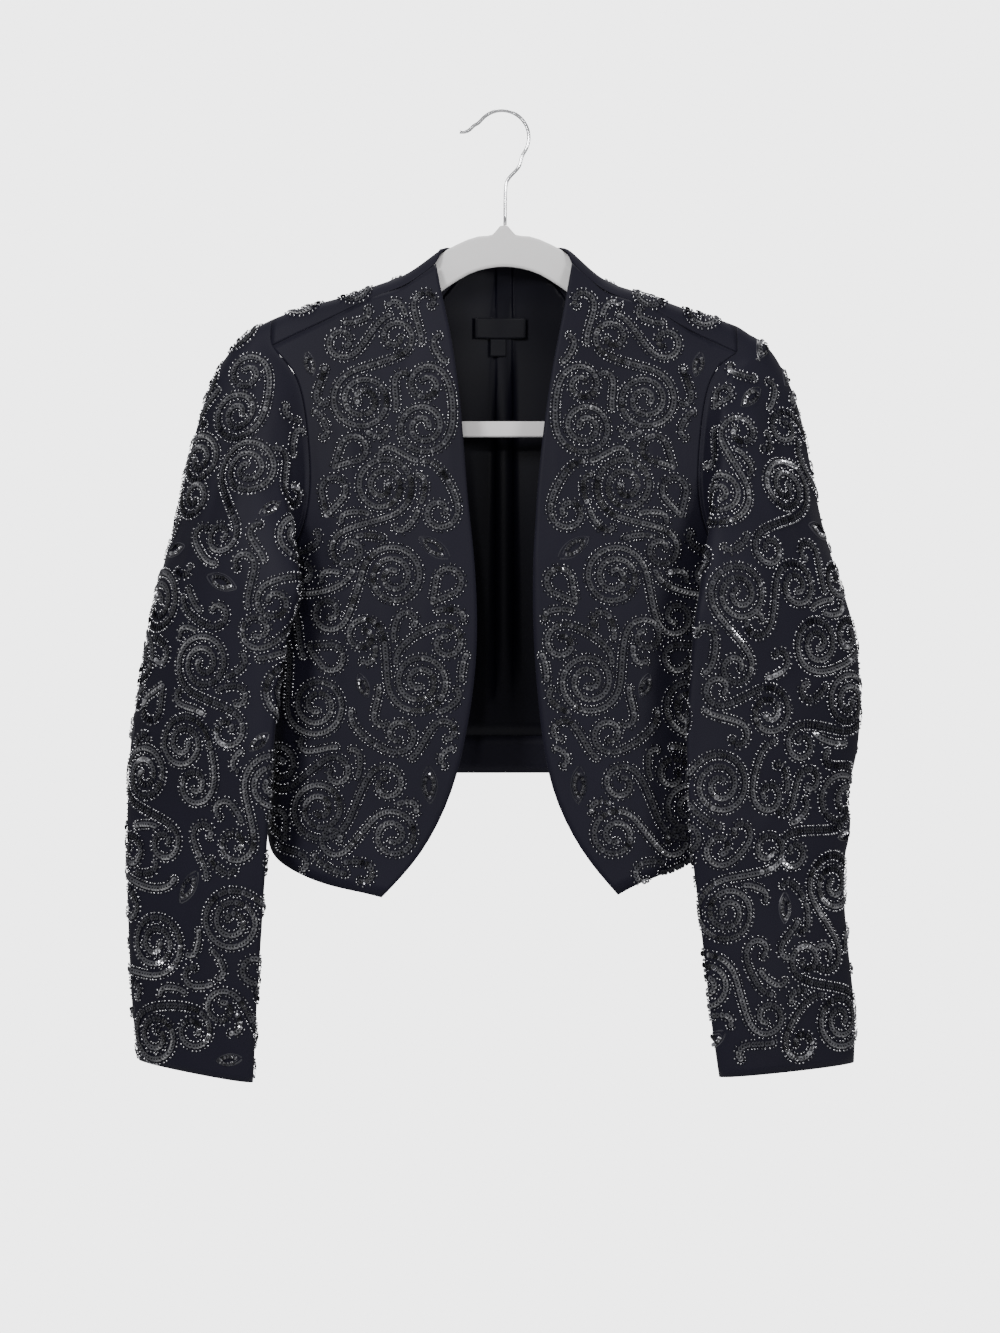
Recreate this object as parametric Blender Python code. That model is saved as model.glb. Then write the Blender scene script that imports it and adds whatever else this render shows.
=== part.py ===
"""Bolero jacket hanging on a slim flocked hanger.

The model is drawn in millimetres and scaled to metres when each mesh is made. X runs to the right as seen from the
front, Y runs away from the front and Z runs up. The origin is the bearing point of the hook: the inside of the wire
at its top. Left and right are as seen from the front.

The body is a flattened hollow form. Its depth is read from how far a point lies below the shoulder ridge, and it
closes towards the side seams as a superellipse. Each piece is a wall: a grid of points on the outside of the cloth
and the same grid moved inwards by the wall.
"""

from math import asin, cos, pi, radians, sin

import bmesh
import bpy
import numpy as np

MM = 0.001

# Cloth
WALL = 1.5
LINING_WALL = 1.0
LABEL_WALL = 0.8
GAP = 0.3
HALF_GAP = GAP / 2
RIDGE_INSET = 6.0
NORMAL_SMOOTHING = 6

# Body, from the shoulder ridge down
NECK_HALF = 53.0
SHOULDER_TIP = 181.0
UNDERARM_Z = -352.0
SIDE_HEM_Z = -520.0
BACK_HEM_Z = -517.0
SIDE_HEM_OUT = 186.0
SECTION_POWER = 2.5
BACK_SHARE = 0.93

# Neck of the back, which stands higher behind the hanger
NECK_BULGE = 14.0
NECK_BULGE_END_Z = -330.0
NECK_BLEND_OUT = 40.0
NECK_ROWS_LENGTH = 12.0
NECK_ROWS_LEAST = 9.0

# Back rows: they hang from the shoulder, then turn level, and their columns spread evenly
LEVEL_FROM_Z = -250.0
LEVEL_OVER = 80.0
SPREAD_FROM_Z = -200.0
SPREAD_OVER = 160.0

# Inside back
LINING_ROWS = (-116, -122, -128, -137, -146, -154, -162, -170, -185, -200, -235, -270, -305, -340, -375, -410, -440,
               -465, -487)
LINING_COLUMNS = (0.14, 0.28, 0.42, 0.56, 0.7, 0.85, 1)
LINING_INSET = 26.0
LINING_GAP = 1.0
PLEAT_LEFT_X = -6.0
PLEAT_RIGHT_X = 6.5
PLEAT_SLOPE = 1.6
PLEAT_HEIGHT = 2.2
PLEAT_END_Z = -478.0
LABEL_CLEARANCE = 0.5
LABEL_CENTRE_X = -2.9
LABEL_WIDTH = 44.3
LABEL_TOP_Z = -157.0
LABEL_HEIGHT = 16.0
TAB_CENTRE_X = -5.0
TAB_WIDTH = 13.5
TAB_HEIGHT = 14.0

# Hanger
WIRE_RADIUS = 1.45
HOOK_RADIUS = 21.2
HOOK_CENTRE_X = -1.6
HOOK_START = 150
HOOK_END = -45
STEM_X = 0.8
BOSS_TOP_Z = -88.5
HANGER_THICK = 5.6
ARM_CLEARANCE = 0.8
ARM_STATIONS = (3, 6, 9, 13, 20, 28, 36, 44, 53, 62, 78, 98, 118, 140, 162, 181, 189)
ARM_END_DROP = 3.0
ARM_END_FROM = 165.0
ARM_END_OVER = 24.0
ARM_HIDDEN_FROM = 48.0
ARM_HIDDEN_TO = 62.0
BAR_Z = -247.5
BAR_HEIGHT = 12.4
BAR_HALF_LENGTH = 180.0
END_BULGE = 16.0


def table(columns, *rows):
    """Read rows of numbers into one tuple for each named column."""
    return {name: tuple(row[i] for row in rows) for i, name in enumerate(columns.split())}


def through(at, value):
    """Return a smooth function through the given points that never overshoots between them."""
    order = np.argsort(at)
    at = np.array(at, float)[order]
    value = np.array(value, float)[order]
    slope = np.diff(value) / np.diff(at)
    tangent = np.zeros(len(at))
    tangent[0] = slope[0]
    tangent[-1] = slope[-1]
    for i in range(1, len(at) - 1):
        if slope[i - 1] * slope[i] > 0:
            tangent[i] = 2 * slope[i - 1] * slope[i] / (slope[i - 1] + slope[i])

    def read(x):
        x = min(max(x, at[0]), at[-1])
        i = min(int(np.searchsorted(at, x, side="right")) - 1, len(at) - 2)
        step = at[i + 1] - at[i]
        t = (x - at[i]) / step
        return (
            (1 + 2 * t) * (1 - t) ** 2 * value[i]
            + t * (1 - t) ** 2 * step * tangent[i]
            + t * t * (3 - 2 * t) * value[i + 1]
            + t * t * (t - 1) * step * tangent[i + 1]
        )

    return read


def ease(t):
    """Rise smoothly from 0 to 1."""
    t = min(max(t, 0.0), 1.0)
    return t * t * (3 - 2 * t)


# Depth of the hanging cloth at a drop below the shoulder ridge: it rolls over the hanger, then fills out.
ROLL = table(
    "drop depth",
    (0, 0), (0.35, 3), (2, 6), (5, 8.3), (10, 10.5), (22, 13), (40, 17), (55, 19.5), (80, 24), (115, 29),
    (142, 33), (188, 37), (250, 40), (340, 42.5), (400, 44), (450, 46.5), (520, 51),
)
depth_at_drop = through(ROLL["drop"], ROLL["depth"])

# The shoulder ridge, from the middle of the back neck out to the sleeve.
RIDGE = {
    "left": table(
        "out z",
        (0, -101), (30, -103), (42, -104.5), (50, -107), (55, -112), (67, -120), (77, -128), (99, -134.5),
        (121, -143.4), (148, -149.8), (169, -156), (184, -163.2), (197, -170.5), (206, -178),
    ),
    "right": table(
        "out z",
        (0, -101), (30, -103), (42, -104.5), (50, -107), (57, -113), (71, -126), (84, -136), (98, -138.5),
        (112, -142), (135, -152), (152, -156), (172, -163), (186, -169), (193, -174.5), (203, -181),
    ),
}

# How far the seam at the front of the shoulder lies below the ridge.
SEAM = table("out drop", (50, 10), (98, 9.5), (120, 11), (141, 17), (156, 20.5), (181, 22.5))
seam_drop = through(SEAM["out"], SEAM["drop"])

# The back neck: the path length from the ridge to the edge, less than nothing on the back of the ridge.
NECK_CUT = table("out path", (0, -13), (20, -11), (33, -8), (41, -4), (46, 0), (50, 7), (53, 15.5))
neck_cut = through(NECK_CUT["out"], NECK_CUT["path"])

# Half width of the closed body section, and the armhole edge above the underarm.
GIRTH = table(
    "z half",
    (-100, 420), (-200, 300), (-286, 215), (-320, 190), (-340, 178.5), (-352, 173), (-400, 178), (-470, 183),
    (-610, 188),
)
girth = through(GIRTH["z"], GIRTH["half"])
ARMHOLE = table(
    "z out",
    (-184, 181), (-198, 167), (-212, 158.5), (-232, 154), (-258, 151), (-286, 149), (-310, 151), (-328, 156),
    (-341, 163.5), (-349, 170), (-352, 173),
)
armhole_out = through(ARMHOLE["z"], ARMHOLE["out"])

# The front edges, and the front hems from the point out to the side seam.
FRONT_EDGE = {
    "left": table(
        "z out",
        (-117, 53.4), (-140, 49.3), (-155.5, 45.3), (-181, 40), (-216, 35.2), (-243, 31.8), (-289, 29.3),
        (-326, 25.3), (-350, 22.9), (-397, 20.3), (-444, 21.5), (-478, 27.3), (-513, 33.7), (-534, 40.2),
        (-552, 47.4), (-565, 55.2), (-579, 63.7), (-595, 78.4), (-609, 93.8),
    ),
    "right": table(
        "z out",
        (-117, 52.7), (-145, 48.6), (-169, 43.5), (-191, 39.3), (-216, 34.5), (-243, 31.5), (-289, 25.7),
        (-326, 23.9), (-350, 22.3), (-397, 21.9), (-444, 24.4), (-467, 26.5), (-490, 29.4), (-514, 32.3),
        (-535, 36.6), (-553, 42.3), (-565, 50.8), (-579, 61.7), (-596, 77.2), (-607, 87.2),
    ),
}
FRONT_HEM = {
    "left": table("out z", (93.8, -609), (125, -601), (152, -588), (172, -573), (182, -550), (186, -520)),
    "right": table("out z", (87.2, -607), (100, -600), (116, -592), (140, -577), (166, -560), (180, -542), (186, -520)),
}

# Largest soft folds of the body: a trough or ridge along a line, with its half width and how far it stands out.
BODY_FOLDS = table(
    "face side top_out top_z low_out low_z half_width height",
    (-1, -1, 128, -215, 112, -430, 13, 3.2),
    (-1, -1, 104, -240, 78, -470, 12, -2.2),
    (-1, -1, 62, -420, 96, -590, 14, 2.4),
    (-1, 1, 124, -225, 100, -440, 13, 3.0),
    (-1, 1, 92, -260, 70, -480, 12, -2.2),
    (-1, 1, 58, -430, 90, -590, 14, 2.4),
    (1, -1, 126, -210, 96, -470, 16, 3.4),
    (1, -1, 60, -260, 52, -517, 16, 2.6),
    (1, 1, 122, -220, 92, -470, 16, 3.4),
    (1, 1, 30, -300, 34, -517, 15, 2.4),
)

# Sleeve sections from the head to the cuff: the outer and inner rails, the half depth before and behind them, how
# much of the armhole's shape a section keeps, and the degrees that it turns to face forwards.
SLEEVE = {
    "left": table(
        "outer_x outer_y outer_z inner_x inner_y inner_z front back head forward",
        (181, 0, -161.7, 173, 0, -352, 30, 30, 1.0, 0),
        (197, 0, -169.5, 178, -4, -355, 34, 30, 0.85, 14),
        (212, 0, -184, 179, -12, -359, 38, 26, 0.65, 28),
        (226, -2, -208, 176, -22, -363, 41, 26, 0.45, 38),
        (234, -4, -234, 170, -32, -367, 42, 25, 0.3, 42),
        (241, -5, -260, 164, -41, -371, 42, 24, 0.18, 38),
        (249, -6, -291, 159, -48, -376, 40, 24, 0.08, 30),
        (256, -6, -326, 157, -53, -382, 36, 24, 0, 20),
        (267, -6, -359, 160, -56, -394, 30, 22, 0, 10),
        (279, -5, -419, 169, -60, -430, 22, 18, 0, 0),
        (291, -6, -492, 174, -64, -495, 18, 15, 0, 0),
        (292.6, -8, -536, 178, -63, -542, 17, 14, 0, 0),
        (292.5, -12, -587, 181, -60, -594, 16, 14, 0, 0),
        (289.3, -18, -667, 187, -56, -676, 16, 14, 0, 0),
        (286.8, -20, -705, 189, -54, -716, 16, 14, 0, 0),
        (282, -21, -736, 191, -52, -749, 16, 14, 0, 0),
    ),
    "right": table(
        "outer_x outer_y outer_z inner_x inner_y inner_z front back head forward",
        (181, 0, -166.9, 173, 0, -352, 30, 30, 1.0, 0),
        (193, 0, -174.5, 178, -4, -355, 34, 30, 0.85, 14),
        (203, 0, -180, 179, -12, -360, 38, 26, 0.65, 28),
        (213, 0, -193, 176, -22, -366, 41, 26, 0.5, 38),
        (220.6, -2, -210, 170, -33, -372, 42, 25, 0.38, 42),
        (227.5, -3, -229, 162, -43, -378, 42, 24, 0.28, 42),
        (234, -5, -260, 155, -53, -384, 41, 24, 0.18, 36),
        (240.4, -6, -291, 149, -61, -390, 38, 24, 0.08, 28),
        (247.4, -6, -324, 145, -67, -397, 33, 23, 0, 20),
        (258.7, -6, -360, 142.5, -71, -406, 26, 21, 0, 10),
        (270.4, -6, -394, 141, -73, -420, 20, 17, 0, 0),
        (277.2, -6, -427, 140, -74, -438, 16, 14, 0, 0),
        (277, -8, -474, 137, -76, -478, 14, 12, 0, 0),
        (273.6, -8, -504, 137.5, -76, -506, 14, 12, 0, 0),
        (263.5, -10, -536, 139.3, -76, -538, 13, 12, 0, 0),
        (271.6, -10, -556, 140, -75, -558, 16, 14, 0, 0),
        (263.2, -12, -584, 142.5, -71, -586, 14, 12, 0, 0),
        (262.7, -14, -612, 147, -68, -614, 15, 13, 0, 0),
        (267.5, -17, -655, 151.5, -64, -658, 16, 14, 0, 0),
        (271.7, -20, -708, 158, -60, -712, 16, 14, 0, 0),
        (270.5, -20, -738, 163, -58, -744, 16, 14, 0, 0),
    ),
}
SLEEVE_RINGS = 25
HEAD_LEAD = 3.0
SLEEVE_POWER = 2.2

# Drag lines and elbow creases of the sleeves: height on the sleeve, turn from the outer rail towards the front,
# how far it reaches along and round, how much it leans, and how far it stands out.
SLEEVE_FOLDS = {
    "left": table(
        "z turn long round lean height",
        (-250, 62, 40, 16, 0.35, 3.0),
        (-262, 100, 44, 14, -0.25, -2.6),
        (-300, 78, 46, 15, 0.2, 2.4),
        (-470, 60, 16, 34, 0.9, -2.4),
        (-500, 96, 14, 30, 1.1, 2.2),
        (-640, 70, 34, 18, 0.3, -2.0),
    ),
    "right": table(
        "z turn long round lean height",
        (-252, 60, 40, 16, -0.35, 3.0),
        (-266, 98, 44, 14, 0.25, -2.6),
        (-330, 84, 46, 15, -0.2, 2.4),
        (-520, 54, 12, 34, -1.0, 2.8),
        (-546, 40, 10, 36, -1.0, -3.2),
        (-572, 56, 12, 38, -1.0, 3.0),
        (-640, 90, 34, 18, 0.3, -2.0),
    ),
}

# Half width of the lining below the shoulder roll.
LINING_REACH = table(
    "z out",
    (-116, 28), (-128, 37), (-137, 45), (-146, 51), (-154, 57), (-162, 67), (-170, 84), (-185, 112), (-200, 130),
    (-487, 162),
)
lining_reach = through(LINING_REACH["z"], LINING_REACH["out"])

# The hanger: the part of the arms that shows, with the neck boss in the middle, their depth, and the wire's route
# before and after the round of the hook.
ARM_VISIBLE = table(
    "out top",
    (0, -88.5), (3, -88.9), (6, -92.6), (9, -95.8), (13, -96.6), (21, -97.2), (33, -101.8), (42, -106), (53, -113.7),
    (62, -120.5), (190, -190),
)
ARM_DEPTH = table(
    "out depth",
    (0, 32.2), (3, 31.9), (6, 28.4), (9, 25.6), (13, 25.4), (20, 26.6), (31, 27.5), (41, 29), (47, 29.5), (60, 29),
    (90, 22), (130, 17), (170, 15), (190, 14),
)
HOOK_TIP = table("x z", (-34.5, -15.6), (-31.5, -15.7), (-28.6, -15.2), (-26, -13.4), (-23.4, -10.2))
HOOK_STEM = table("x z", (12.6, -43), (6.2, -48.6), (2.2, -53.4), (0.9, -58.4))

# Rows of the panels, by where they meet the armhole and side seam, and the columns across half a back.
ARMHOLE_ROWS = (-184, -198, -212, -232, -258, -286, -310, -328, -341, -349, -352)
SIDE_ROWS = (-372, -398, -430, -465, -498, -520)
BACK_COLUMNS = (0, 14, 27, 36, 42, 46.5, 50, 53, 62, 78, 98, 118, 140, 162, 181)
ROLL_SHARES = (1, 0.7, 0.45, 0.22, 0)
ROLL_DROPS = (0.35, 2, 5, 10)
FRONT_COLUMNS = 14

SIDES = (("left", -1), ("right", 1))
SIDE_OF = {-1: "left", 1: "right"}
ridge_z = {side: through(rows["out"], rows["z"]) for side, rows in RIDGE.items()}
edge_out = {side: through(rows["z"], rows["out"]) for side, rows in FRONT_EDGE.items()}
hem_z = {side: through(rows["out"], rows["z"]) for side, rows in FRONT_HEM.items()}


def side_out(z):
    """Distance from the middle to the armhole edge or, below the underarm, to the side seam."""
    return girth(z) if z <= UNDERARM_Z else armhole_out(max(min(z, ARMHOLE["z"][0]), UNDERARM_Z))


def fold_height(face, sign, out, z):
    """Sum of the soft folds of the body at a point."""
    total = 0.0
    rows = zip(*(BODY_FOLDS[name] for name in BODY_FOLDS))
    for fold_face, fold_side, top_out, top_z, low_out, low_z, half_width, height in rows:
        if fold_face != face or fold_side != sign:
            continue
        along = (top_z - z) / (top_z - low_z)
        if -0.25 < along < 1.25:
            fade = ease((along + 0.25) / 0.4) * ease((1.25 - along) / 0.4)
            across = (out - top_out - (low_out - top_out) * along) / half_width
            total += height * fade * np.exp(-across * across)
    return total


def body_y(face, sign, out, z, drop=None, folded=True):
    """Depth of the cloth: negative at the front (face -1) and positive at the back (face 1)."""
    side = "left" if sign < 0 else "right"
    if drop is None:
        drop = max(ridge_z[side](out) - z, 0.0)
    half = girth(z)
    closing = max(1 - (min(out, half) / half) ** SECTION_POWER, 0.0) ** (1 / SECTION_POWER)
    depth = depth_at_drop(drop)
    if face > 0:
        depth *= 1 - (1 - BACK_SHARE) * ease((drop - 30) / 200)
        inside_neck = max(1 - (out / NECK_HALF) ** 2, 0.0) ** 2
        depth += NECK_BULGE * inside_neck * ease((z - NECK_BULGE_END_Z) / (-110 - NECK_BULGE_END_Z))
    settle = ease((drop - 40) / 60) * ease((1 - out / half) / 0.12)
    if folded:
        depth += fold_height(face, sign, out, z) * settle
    return face * (depth * closing + HALF_GAP)


def normals(grid, closed):
    """Unit normals of a grid of points, as the cross product of its rows and columns."""
    along = np.gradient(grid, axis=0)
    if closed:
        around = (np.roll(grid, -1, axis=1) - np.roll(grid, 1, axis=1)) / 2
    else:
        around = np.gradient(grid, axis=1)
    normal = np.cross(along, around)
    return normal / np.linalg.norm(normal, axis=2, keepdims=True)


def material(name, colour, roughness, metallic=0.0):
    """Make one Principled material."""
    made = bpy.data.materials.new(name)
    made.use_nodes = True
    shader = made.node_tree.nodes["Principled BSDF"]
    shader.inputs["Base Color"].default_value = (*colour, 1)
    shader.inputs["Roughness"].default_value = roughness
    shader.inputs["Metallic"].default_value = metallic
    return made


def add_object(name, vertices, faces, finish):
    """Make a closed mesh object from millimetre points, with its faces turned outwards."""
    mesh = bpy.data.meshes.new(name)
    mesh.from_pydata([tuple(np.array(v) * MM) for v in vertices], [], faces)
    shell = bmesh.new()
    shell.from_mesh(mesh)
    bmesh.ops.recalc_face_normals(shell, faces=shell.faces)
    shell.to_mesh(mesh)
    shell.free()
    mesh.shade_smooth()
    mesh.set_sharp_from_angle(angle=radians(50))
    mesh.materials.append(finish)
    made = bpy.data.objects.new(name, mesh)
    bpy.context.scene.collection.objects.link(made)
    return made


def add_wall(name, outside, inside, finish, closed=False):
    """Join an outside and an inside grid into one closed wall; closed grids are tubes."""
    rows, columns = outside.shape[:2]
    vertices = [*outside.reshape(-1, 3), *inside.reshape(-1, 3)]
    back = rows * columns
    faces = []

    def at(row, column):
        return row * columns + column % columns

    for row in range(rows - 1):
        for column in range(columns if closed else columns - 1):
            corner = (at(row, column), at(row, column + 1), at(row + 1, column + 1), at(row + 1, column))
            faces.append(corner)
            faces.append(tuple(back + i for i in reversed(corner)))
    for row in (0, rows - 1):
        for column in range(columns if closed else columns - 1):
            first, second = at(row, column), at(row, column + 1)
            faces.append((first, second, back + second, back + first))
    if not closed:
        for column in (0, columns - 1):
            for row in range(rows - 1):
                first, second = at(row, column), at(row + 1, column)
                faces.append((first, second, back + second, back + first))
    return add_object(name, vertices, faces, finish)


def seam_height(side, out):
    """Height of the seam at the front of the shoulder."""
    return ridge_z[side](out) - seam_drop(out)


def roll_path():
    """Path length over the ridge for each row of the roll table."""
    length = [0.0]
    for i in range(1, len(ROLL["drop"])):
        step = np.hypot(ROLL["drop"][i] - ROLL["drop"][i - 1], ROLL["depth"][i] - ROLL["depth"][i - 1])
        length.append(length[-1] + step)
    return length


drop_at_path = through(roll_path(), ROLL["drop"])
path_at_drop = through(ROLL["drop"], roll_path())


def unit(vector):
    """The vector at length 1."""
    return np.array(vector, float) / np.linalg.norm(vector)


def roll_point(sign, out, path):
    """A point on the shoulder, by its path length from the ridge: more than nothing on the front."""
    drop = drop_at_path(abs(path))
    z = ridge_z[SIDE_OF[sign]](out) - drop
    y = body_y(-1 if path > 0 else 1, sign, out, z, drop)
    return np.array((sign * out, y if path else 0.0, z))


def roll_normal(sign, out, path):
    """The outward direction of the shoulder there, away from a line a little below the ridge."""
    along = roll_point(sign, out, path + 2) - roll_point(sign, out, path - 2)
    across = roll_point(sign, out + 3, path) - roll_point(sign, out - 3, path)
    normal = unit(np.cross(along, across))
    away = (0, roll_point(sign, out, path)[1], RIDGE_INSET)
    return normal if normal @ away > 0 else -normal


def seam_path(out):
    """Path length from the ridge to the shoulder seam."""
    return path_at_drop(seam_drop(out))


def armhole(side, sign):
    """The armhole seam from the ridge down the front, under the arm and up the back: its points, the outward
    directions of the cloth there and the directions in the cloth that lead into the sleeve."""
    tip_path = seam_path(SHOULDER_TIP)
    front_roll = [tip_path * share for share in reversed(ROLL_SHARES)]
    back_roll = [-path_at_drop(drop) for drop in reversed(ROLL_DROPS)]
    points, into_panel, outwards = [], [], []

    def add_roll(path):
        points.append(roll_point(sign, SHOULDER_TIP, path))
        into_panel.append(roll_point(sign, SHOULDER_TIP - 3, path) - points[-1])
        outwards.append(roll_normal(sign, SHOULDER_TIP, path))

    def add_edge(face, z):
        out = armhole_out(z)
        points.append(np.array((sign * out, body_y(face, sign, out, z), z)))
        into_panel.append(np.array((sign * (out - 1), body_y(face, sign, out - 1, z), z)) - points[-1])
        outwards.append(None)

    for path in front_roll:
        add_roll(path)
    for z in ARMHOLE_ROWS[1:-1]:
        add_edge(-1, z)
    points.append(np.array((sign * armhole_out(UNDERARM_Z), 0.0, UNDERARM_Z)))
    into_panel.append(np.array((0, 0, -1.0)))
    outwards.append(np.array((sign, 0, 0)))
    for z in reversed(ARMHOLE_ROWS[:-1]):
        add_edge(1, z)
    for path in back_roll:
        add_roll(path)

    points = np.array(points)
    tangent = np.roll(points, -1, axis=0) - np.roll(points, 1, axis=0)
    into_sleeve = []
    for i, point in enumerate(points):
        if outwards[i] is None:
            normal = unit(np.cross(tangent[i], into_panel[i]))
            outwards[i] = normal if normal @ (sign * 0.3, np.sign(point[1]), 0) > 0 else -normal
        lead = unit(np.cross(tangent[i], outwards[i]))
        into_sleeve.append(lead if lead @ into_panel[i] < 0 else -lead)
    return points, np.array(outwards), np.array(into_sleeve)


def panel_normals(grid, face):
    """Outward directions over a panel."""
    normal = normals(grid, False)
    return normal * np.sign(face * normal[len(grid) // 2 :, :, 1].sum())


def front_point(side, sign, row_share, row_side_z, column):
    """A point on the outside of a front: rows run from the shoulder seam to the hem, columns from edge to side."""
    column_share = column / FRONT_COLUMNS
    half = girth(row_side_z)
    widest = asin(min((side_out(row_side_z) / half) ** (SECTION_POWER / 2), 1.0))
    neck_z = seam_height(side, NECK_HALF)
    point_z = FRONT_EDGE[side]["z"][-1]
    edge = edge_out[side](neck_z + (point_z - neck_z) * row_share)
    narrowest = asin((edge / half) ** (SECTION_POWER / 2))
    turn = narrowest + (widest - narrowest) * column_share
    out = half * sin(turn) ** (2 / SECTION_POWER)
    top_out = front_top_out(column)
    point_out = FRONT_EDGE[side]["out"][-1]
    low_out = point_out + (SIDE_HEM_OUT - point_out) * column_share**0.75
    top_z = seam_height(side, top_out)
    low_z = hem_z[side](low_out)
    z = top_z + (low_z - top_z) * row_share
    return (sign * out, body_y(-1, sign, out, z), z)


def front_top_out(column):
    """Where a column of a front starts on the shoulder seam: two columns for each one of the back."""
    first, odd = divmod(column, 2)
    start = BACK_COLUMNS.index(NECK_HALF) + first
    return (BACK_COLUMNS[start] + BACK_COLUMNS[start + odd]) / 2


def front_panel(side, sign):
    """The outside of one front and its outward directions."""
    tip_z = seam_height(side, SHOULDER_TIP)
    grid = []
    for row_side_z in (tip_z, *ARMHOLE_ROWS[1:], *SIDE_ROWS):
        share = (tip_z - row_side_z) / (tip_z - SIDE_HEM_Z)
        grid.append([front_point(side, sign, share, row_side_z, column) for column in range(FRONT_COLUMNS + 1)])
    grid = np.array(grid)
    normal = panel_normals(grid, -1)

    seam_outs = [out for out in BACK_COLUMNS if out >= NECK_HALF]
    for i, out in enumerate(seam_outs):
        grid[0, 2 * i] = roll_point(sign, out, seam_path(out) + HALF_GAP)
        normal[0, 2 * i] = roll_normal(sign, out, seam_path(out))
    for column in range(1, FRONT_COLUMNS, 2):
        grid[0, column] = (grid[0, column - 1] + grid[0, column + 1]) / 2
        normal[0, column] = (normal[0, column - 1] + normal[0, column + 1]) / 2

    points, outwards, into_sleeve = armhole(side, sign)
    seam = ROLL_SHARES.index(0)
    for row in range(len(ARMHOLE_ROWS)):
        grid[row, -1] = points[seam + row] - into_sleeve[seam + row] * HALF_GAP
        normal[row, -1] = outwards[seam + row]
    grid[0, -1] += unit(points[seam + 1] - points[seam]) * HALF_GAP
    normal[len(ARMHOLE_ROWS) :, -1, 1] = 0
    grid[len(ARMHOLE_ROWS) - 1 :, -1, 1] = -HALF_GAP
    return grid, normal / np.linalg.norm(normal, axis=2, keepdims=True)


def back_column(sign, column):
    """One column of the back, from the front shoulder seam or neck edge, over the ridge, down to the hem."""
    side = SIDE_OF[sign]
    top_out = BACK_COLUMNS[column]
    top_path = seam_path(max(top_out, NECK_HALF))
    paths = [top_path * share for share in ROLL_SHARES] + [-path_at_drop(drop) for drop in ROLL_DROPS]
    if top_out < NECK_HALF:
        paths = neck_rows(top_out, paths)
    points = [roll_point(sign, top_out, path) for path in paths]
    start_z = points[-1][2]
    edge_start_z = ridge_z[side](SHOULDER_TIP) - ROLL_DROPS[-1]
    column_share = column / (len(BACK_COLUMNS) - 1)
    for row_side_z in (*ARMHOLE_ROWS, *SIDE_ROWS[:-1], BACK_HEM_Z):
        share = (edge_start_z - row_side_z) / (edge_start_z - BACK_HEM_Z)
        level = ease((LEVEL_FROM_Z - row_side_z) / LEVEL_OVER)
        z = (start_z + (BACK_HEM_Z - start_z) * share) * (1 - level) + row_side_z * level
        half = girth(row_side_z)
        reach = side_out(row_side_z)
        widest = asin(min((reach / half) ** (SECTION_POWER / 2), 1.0))
        even = half * sin(widest * column_share) ** (2 / SECTION_POWER)
        hung = reach * top_out / SHOULDER_TIP
        blend = ease((SPREAD_FROM_Z - row_side_z) / SPREAD_OVER)
        out = hung * (1 - blend) + even * blend
        points.append(np.array((sign * out, body_y(1, sign, out, z), z)))
    return points


def neck_rows(out, shoulder_rows):
    """Path lengths of the roll rows in the neck, from its edge to where the flat of the back begins."""
    edge = neck_cut(out)
    on_shoulder = ease((out - NECK_BLEND_OUT) / (NECK_HALF - NECK_BLEND_OUT))
    low = shoulder_rows[-1] * on_shoulder + (edge - NECK_ROWS_LENGTH) * (1 - on_shoulder)
    low = min(low, edge - NECK_ROWS_LEAST)
    span = shoulder_rows[0] - shoulder_rows[-1]
    return [low + (edge - low) * (path - shoulder_rows[-1]) / span for path in shoulder_rows]


def back_panel():
    """The outside of the back, from the left armhole to the right one, and its outward directions."""
    last = len(BACK_COLUMNS) - 1
    columns = [back_column(-1, column) for column in range(last, 0, -1)]
    columns += [back_column(1, column) for column in range(last + 1)]
    grid = np.array(columns).transpose(1, 0, 2)
    normal = panel_normals(grid, 1)
    ridge = ROLL_SHARES.index(0)
    roll_rows = len(ROLL_SHARES) + len(ROLL_DROPS)
    for sign, edge in ((-1, 0), (1, -1)):
        side = SIDE_OF[sign]
        for column, out in enumerate(BACK_COLUMNS):
            if out >= NECK_HALF:
                at = last + sign * column
                normal[0, at] = roll_normal(sign, out, seam_path(out))
                grid[0, at] = roll_point(sign, out, seam_path(out) - HALF_GAP)
        points, outwards, into_sleeve = armhole(side, sign)
        order = [*range(ridge, -1, -1), *range(len(points) - 1, ridge + len(ARMHOLE_ROWS) - 2, -1)]
        for row, i in enumerate(order):
            grid[row, edge] = points[i] - into_sleeve[i] * HALF_GAP
            normal[row, edge] = outwards[i]
        grid[0, edge] += unit(points[ridge - 1] - points[ridge]) * HALF_GAP
        under = roll_rows + len(ARMHOLE_ROWS) - 1
        normal[under + 1 :, edge, 1] = 0
        grid[under:, edge, 1] = HALF_GAP
    return grid, normal / np.linalg.norm(normal, axis=2, keepdims=True)


def rail_ring(row, turns):
    """A rounded section between an outer and an inner rail."""
    ring = []
    for turn in turns:
        across = np.sign(cos(turn)) * abs(cos(turn)) ** (2 / SLEEVE_POWER)
        depth = abs(sin(turn)) ** (2 / SLEEVE_POWER)
        middle = [(row[f"outer_{axis}"] + row[f"inner_{axis}"]) / 2 for axis in "xyz"]
        reach = [(row[f"outer_{axis}"] - row[f"inner_{axis}"]) / 2 for axis in "xyz"]
        point = [m + across * r for m, r in zip(middle, reach)]
        proud = row["front"] * depth if sin(turn) > 0 else -row["back"] * depth
        forward = radians(row["forward"])
        point[0] -= np.sign(row["outer_x"]) * proud * sin(forward)
        point[1] -= proud * cos(forward)
        ring.append(point)
    return np.array(ring)


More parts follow.
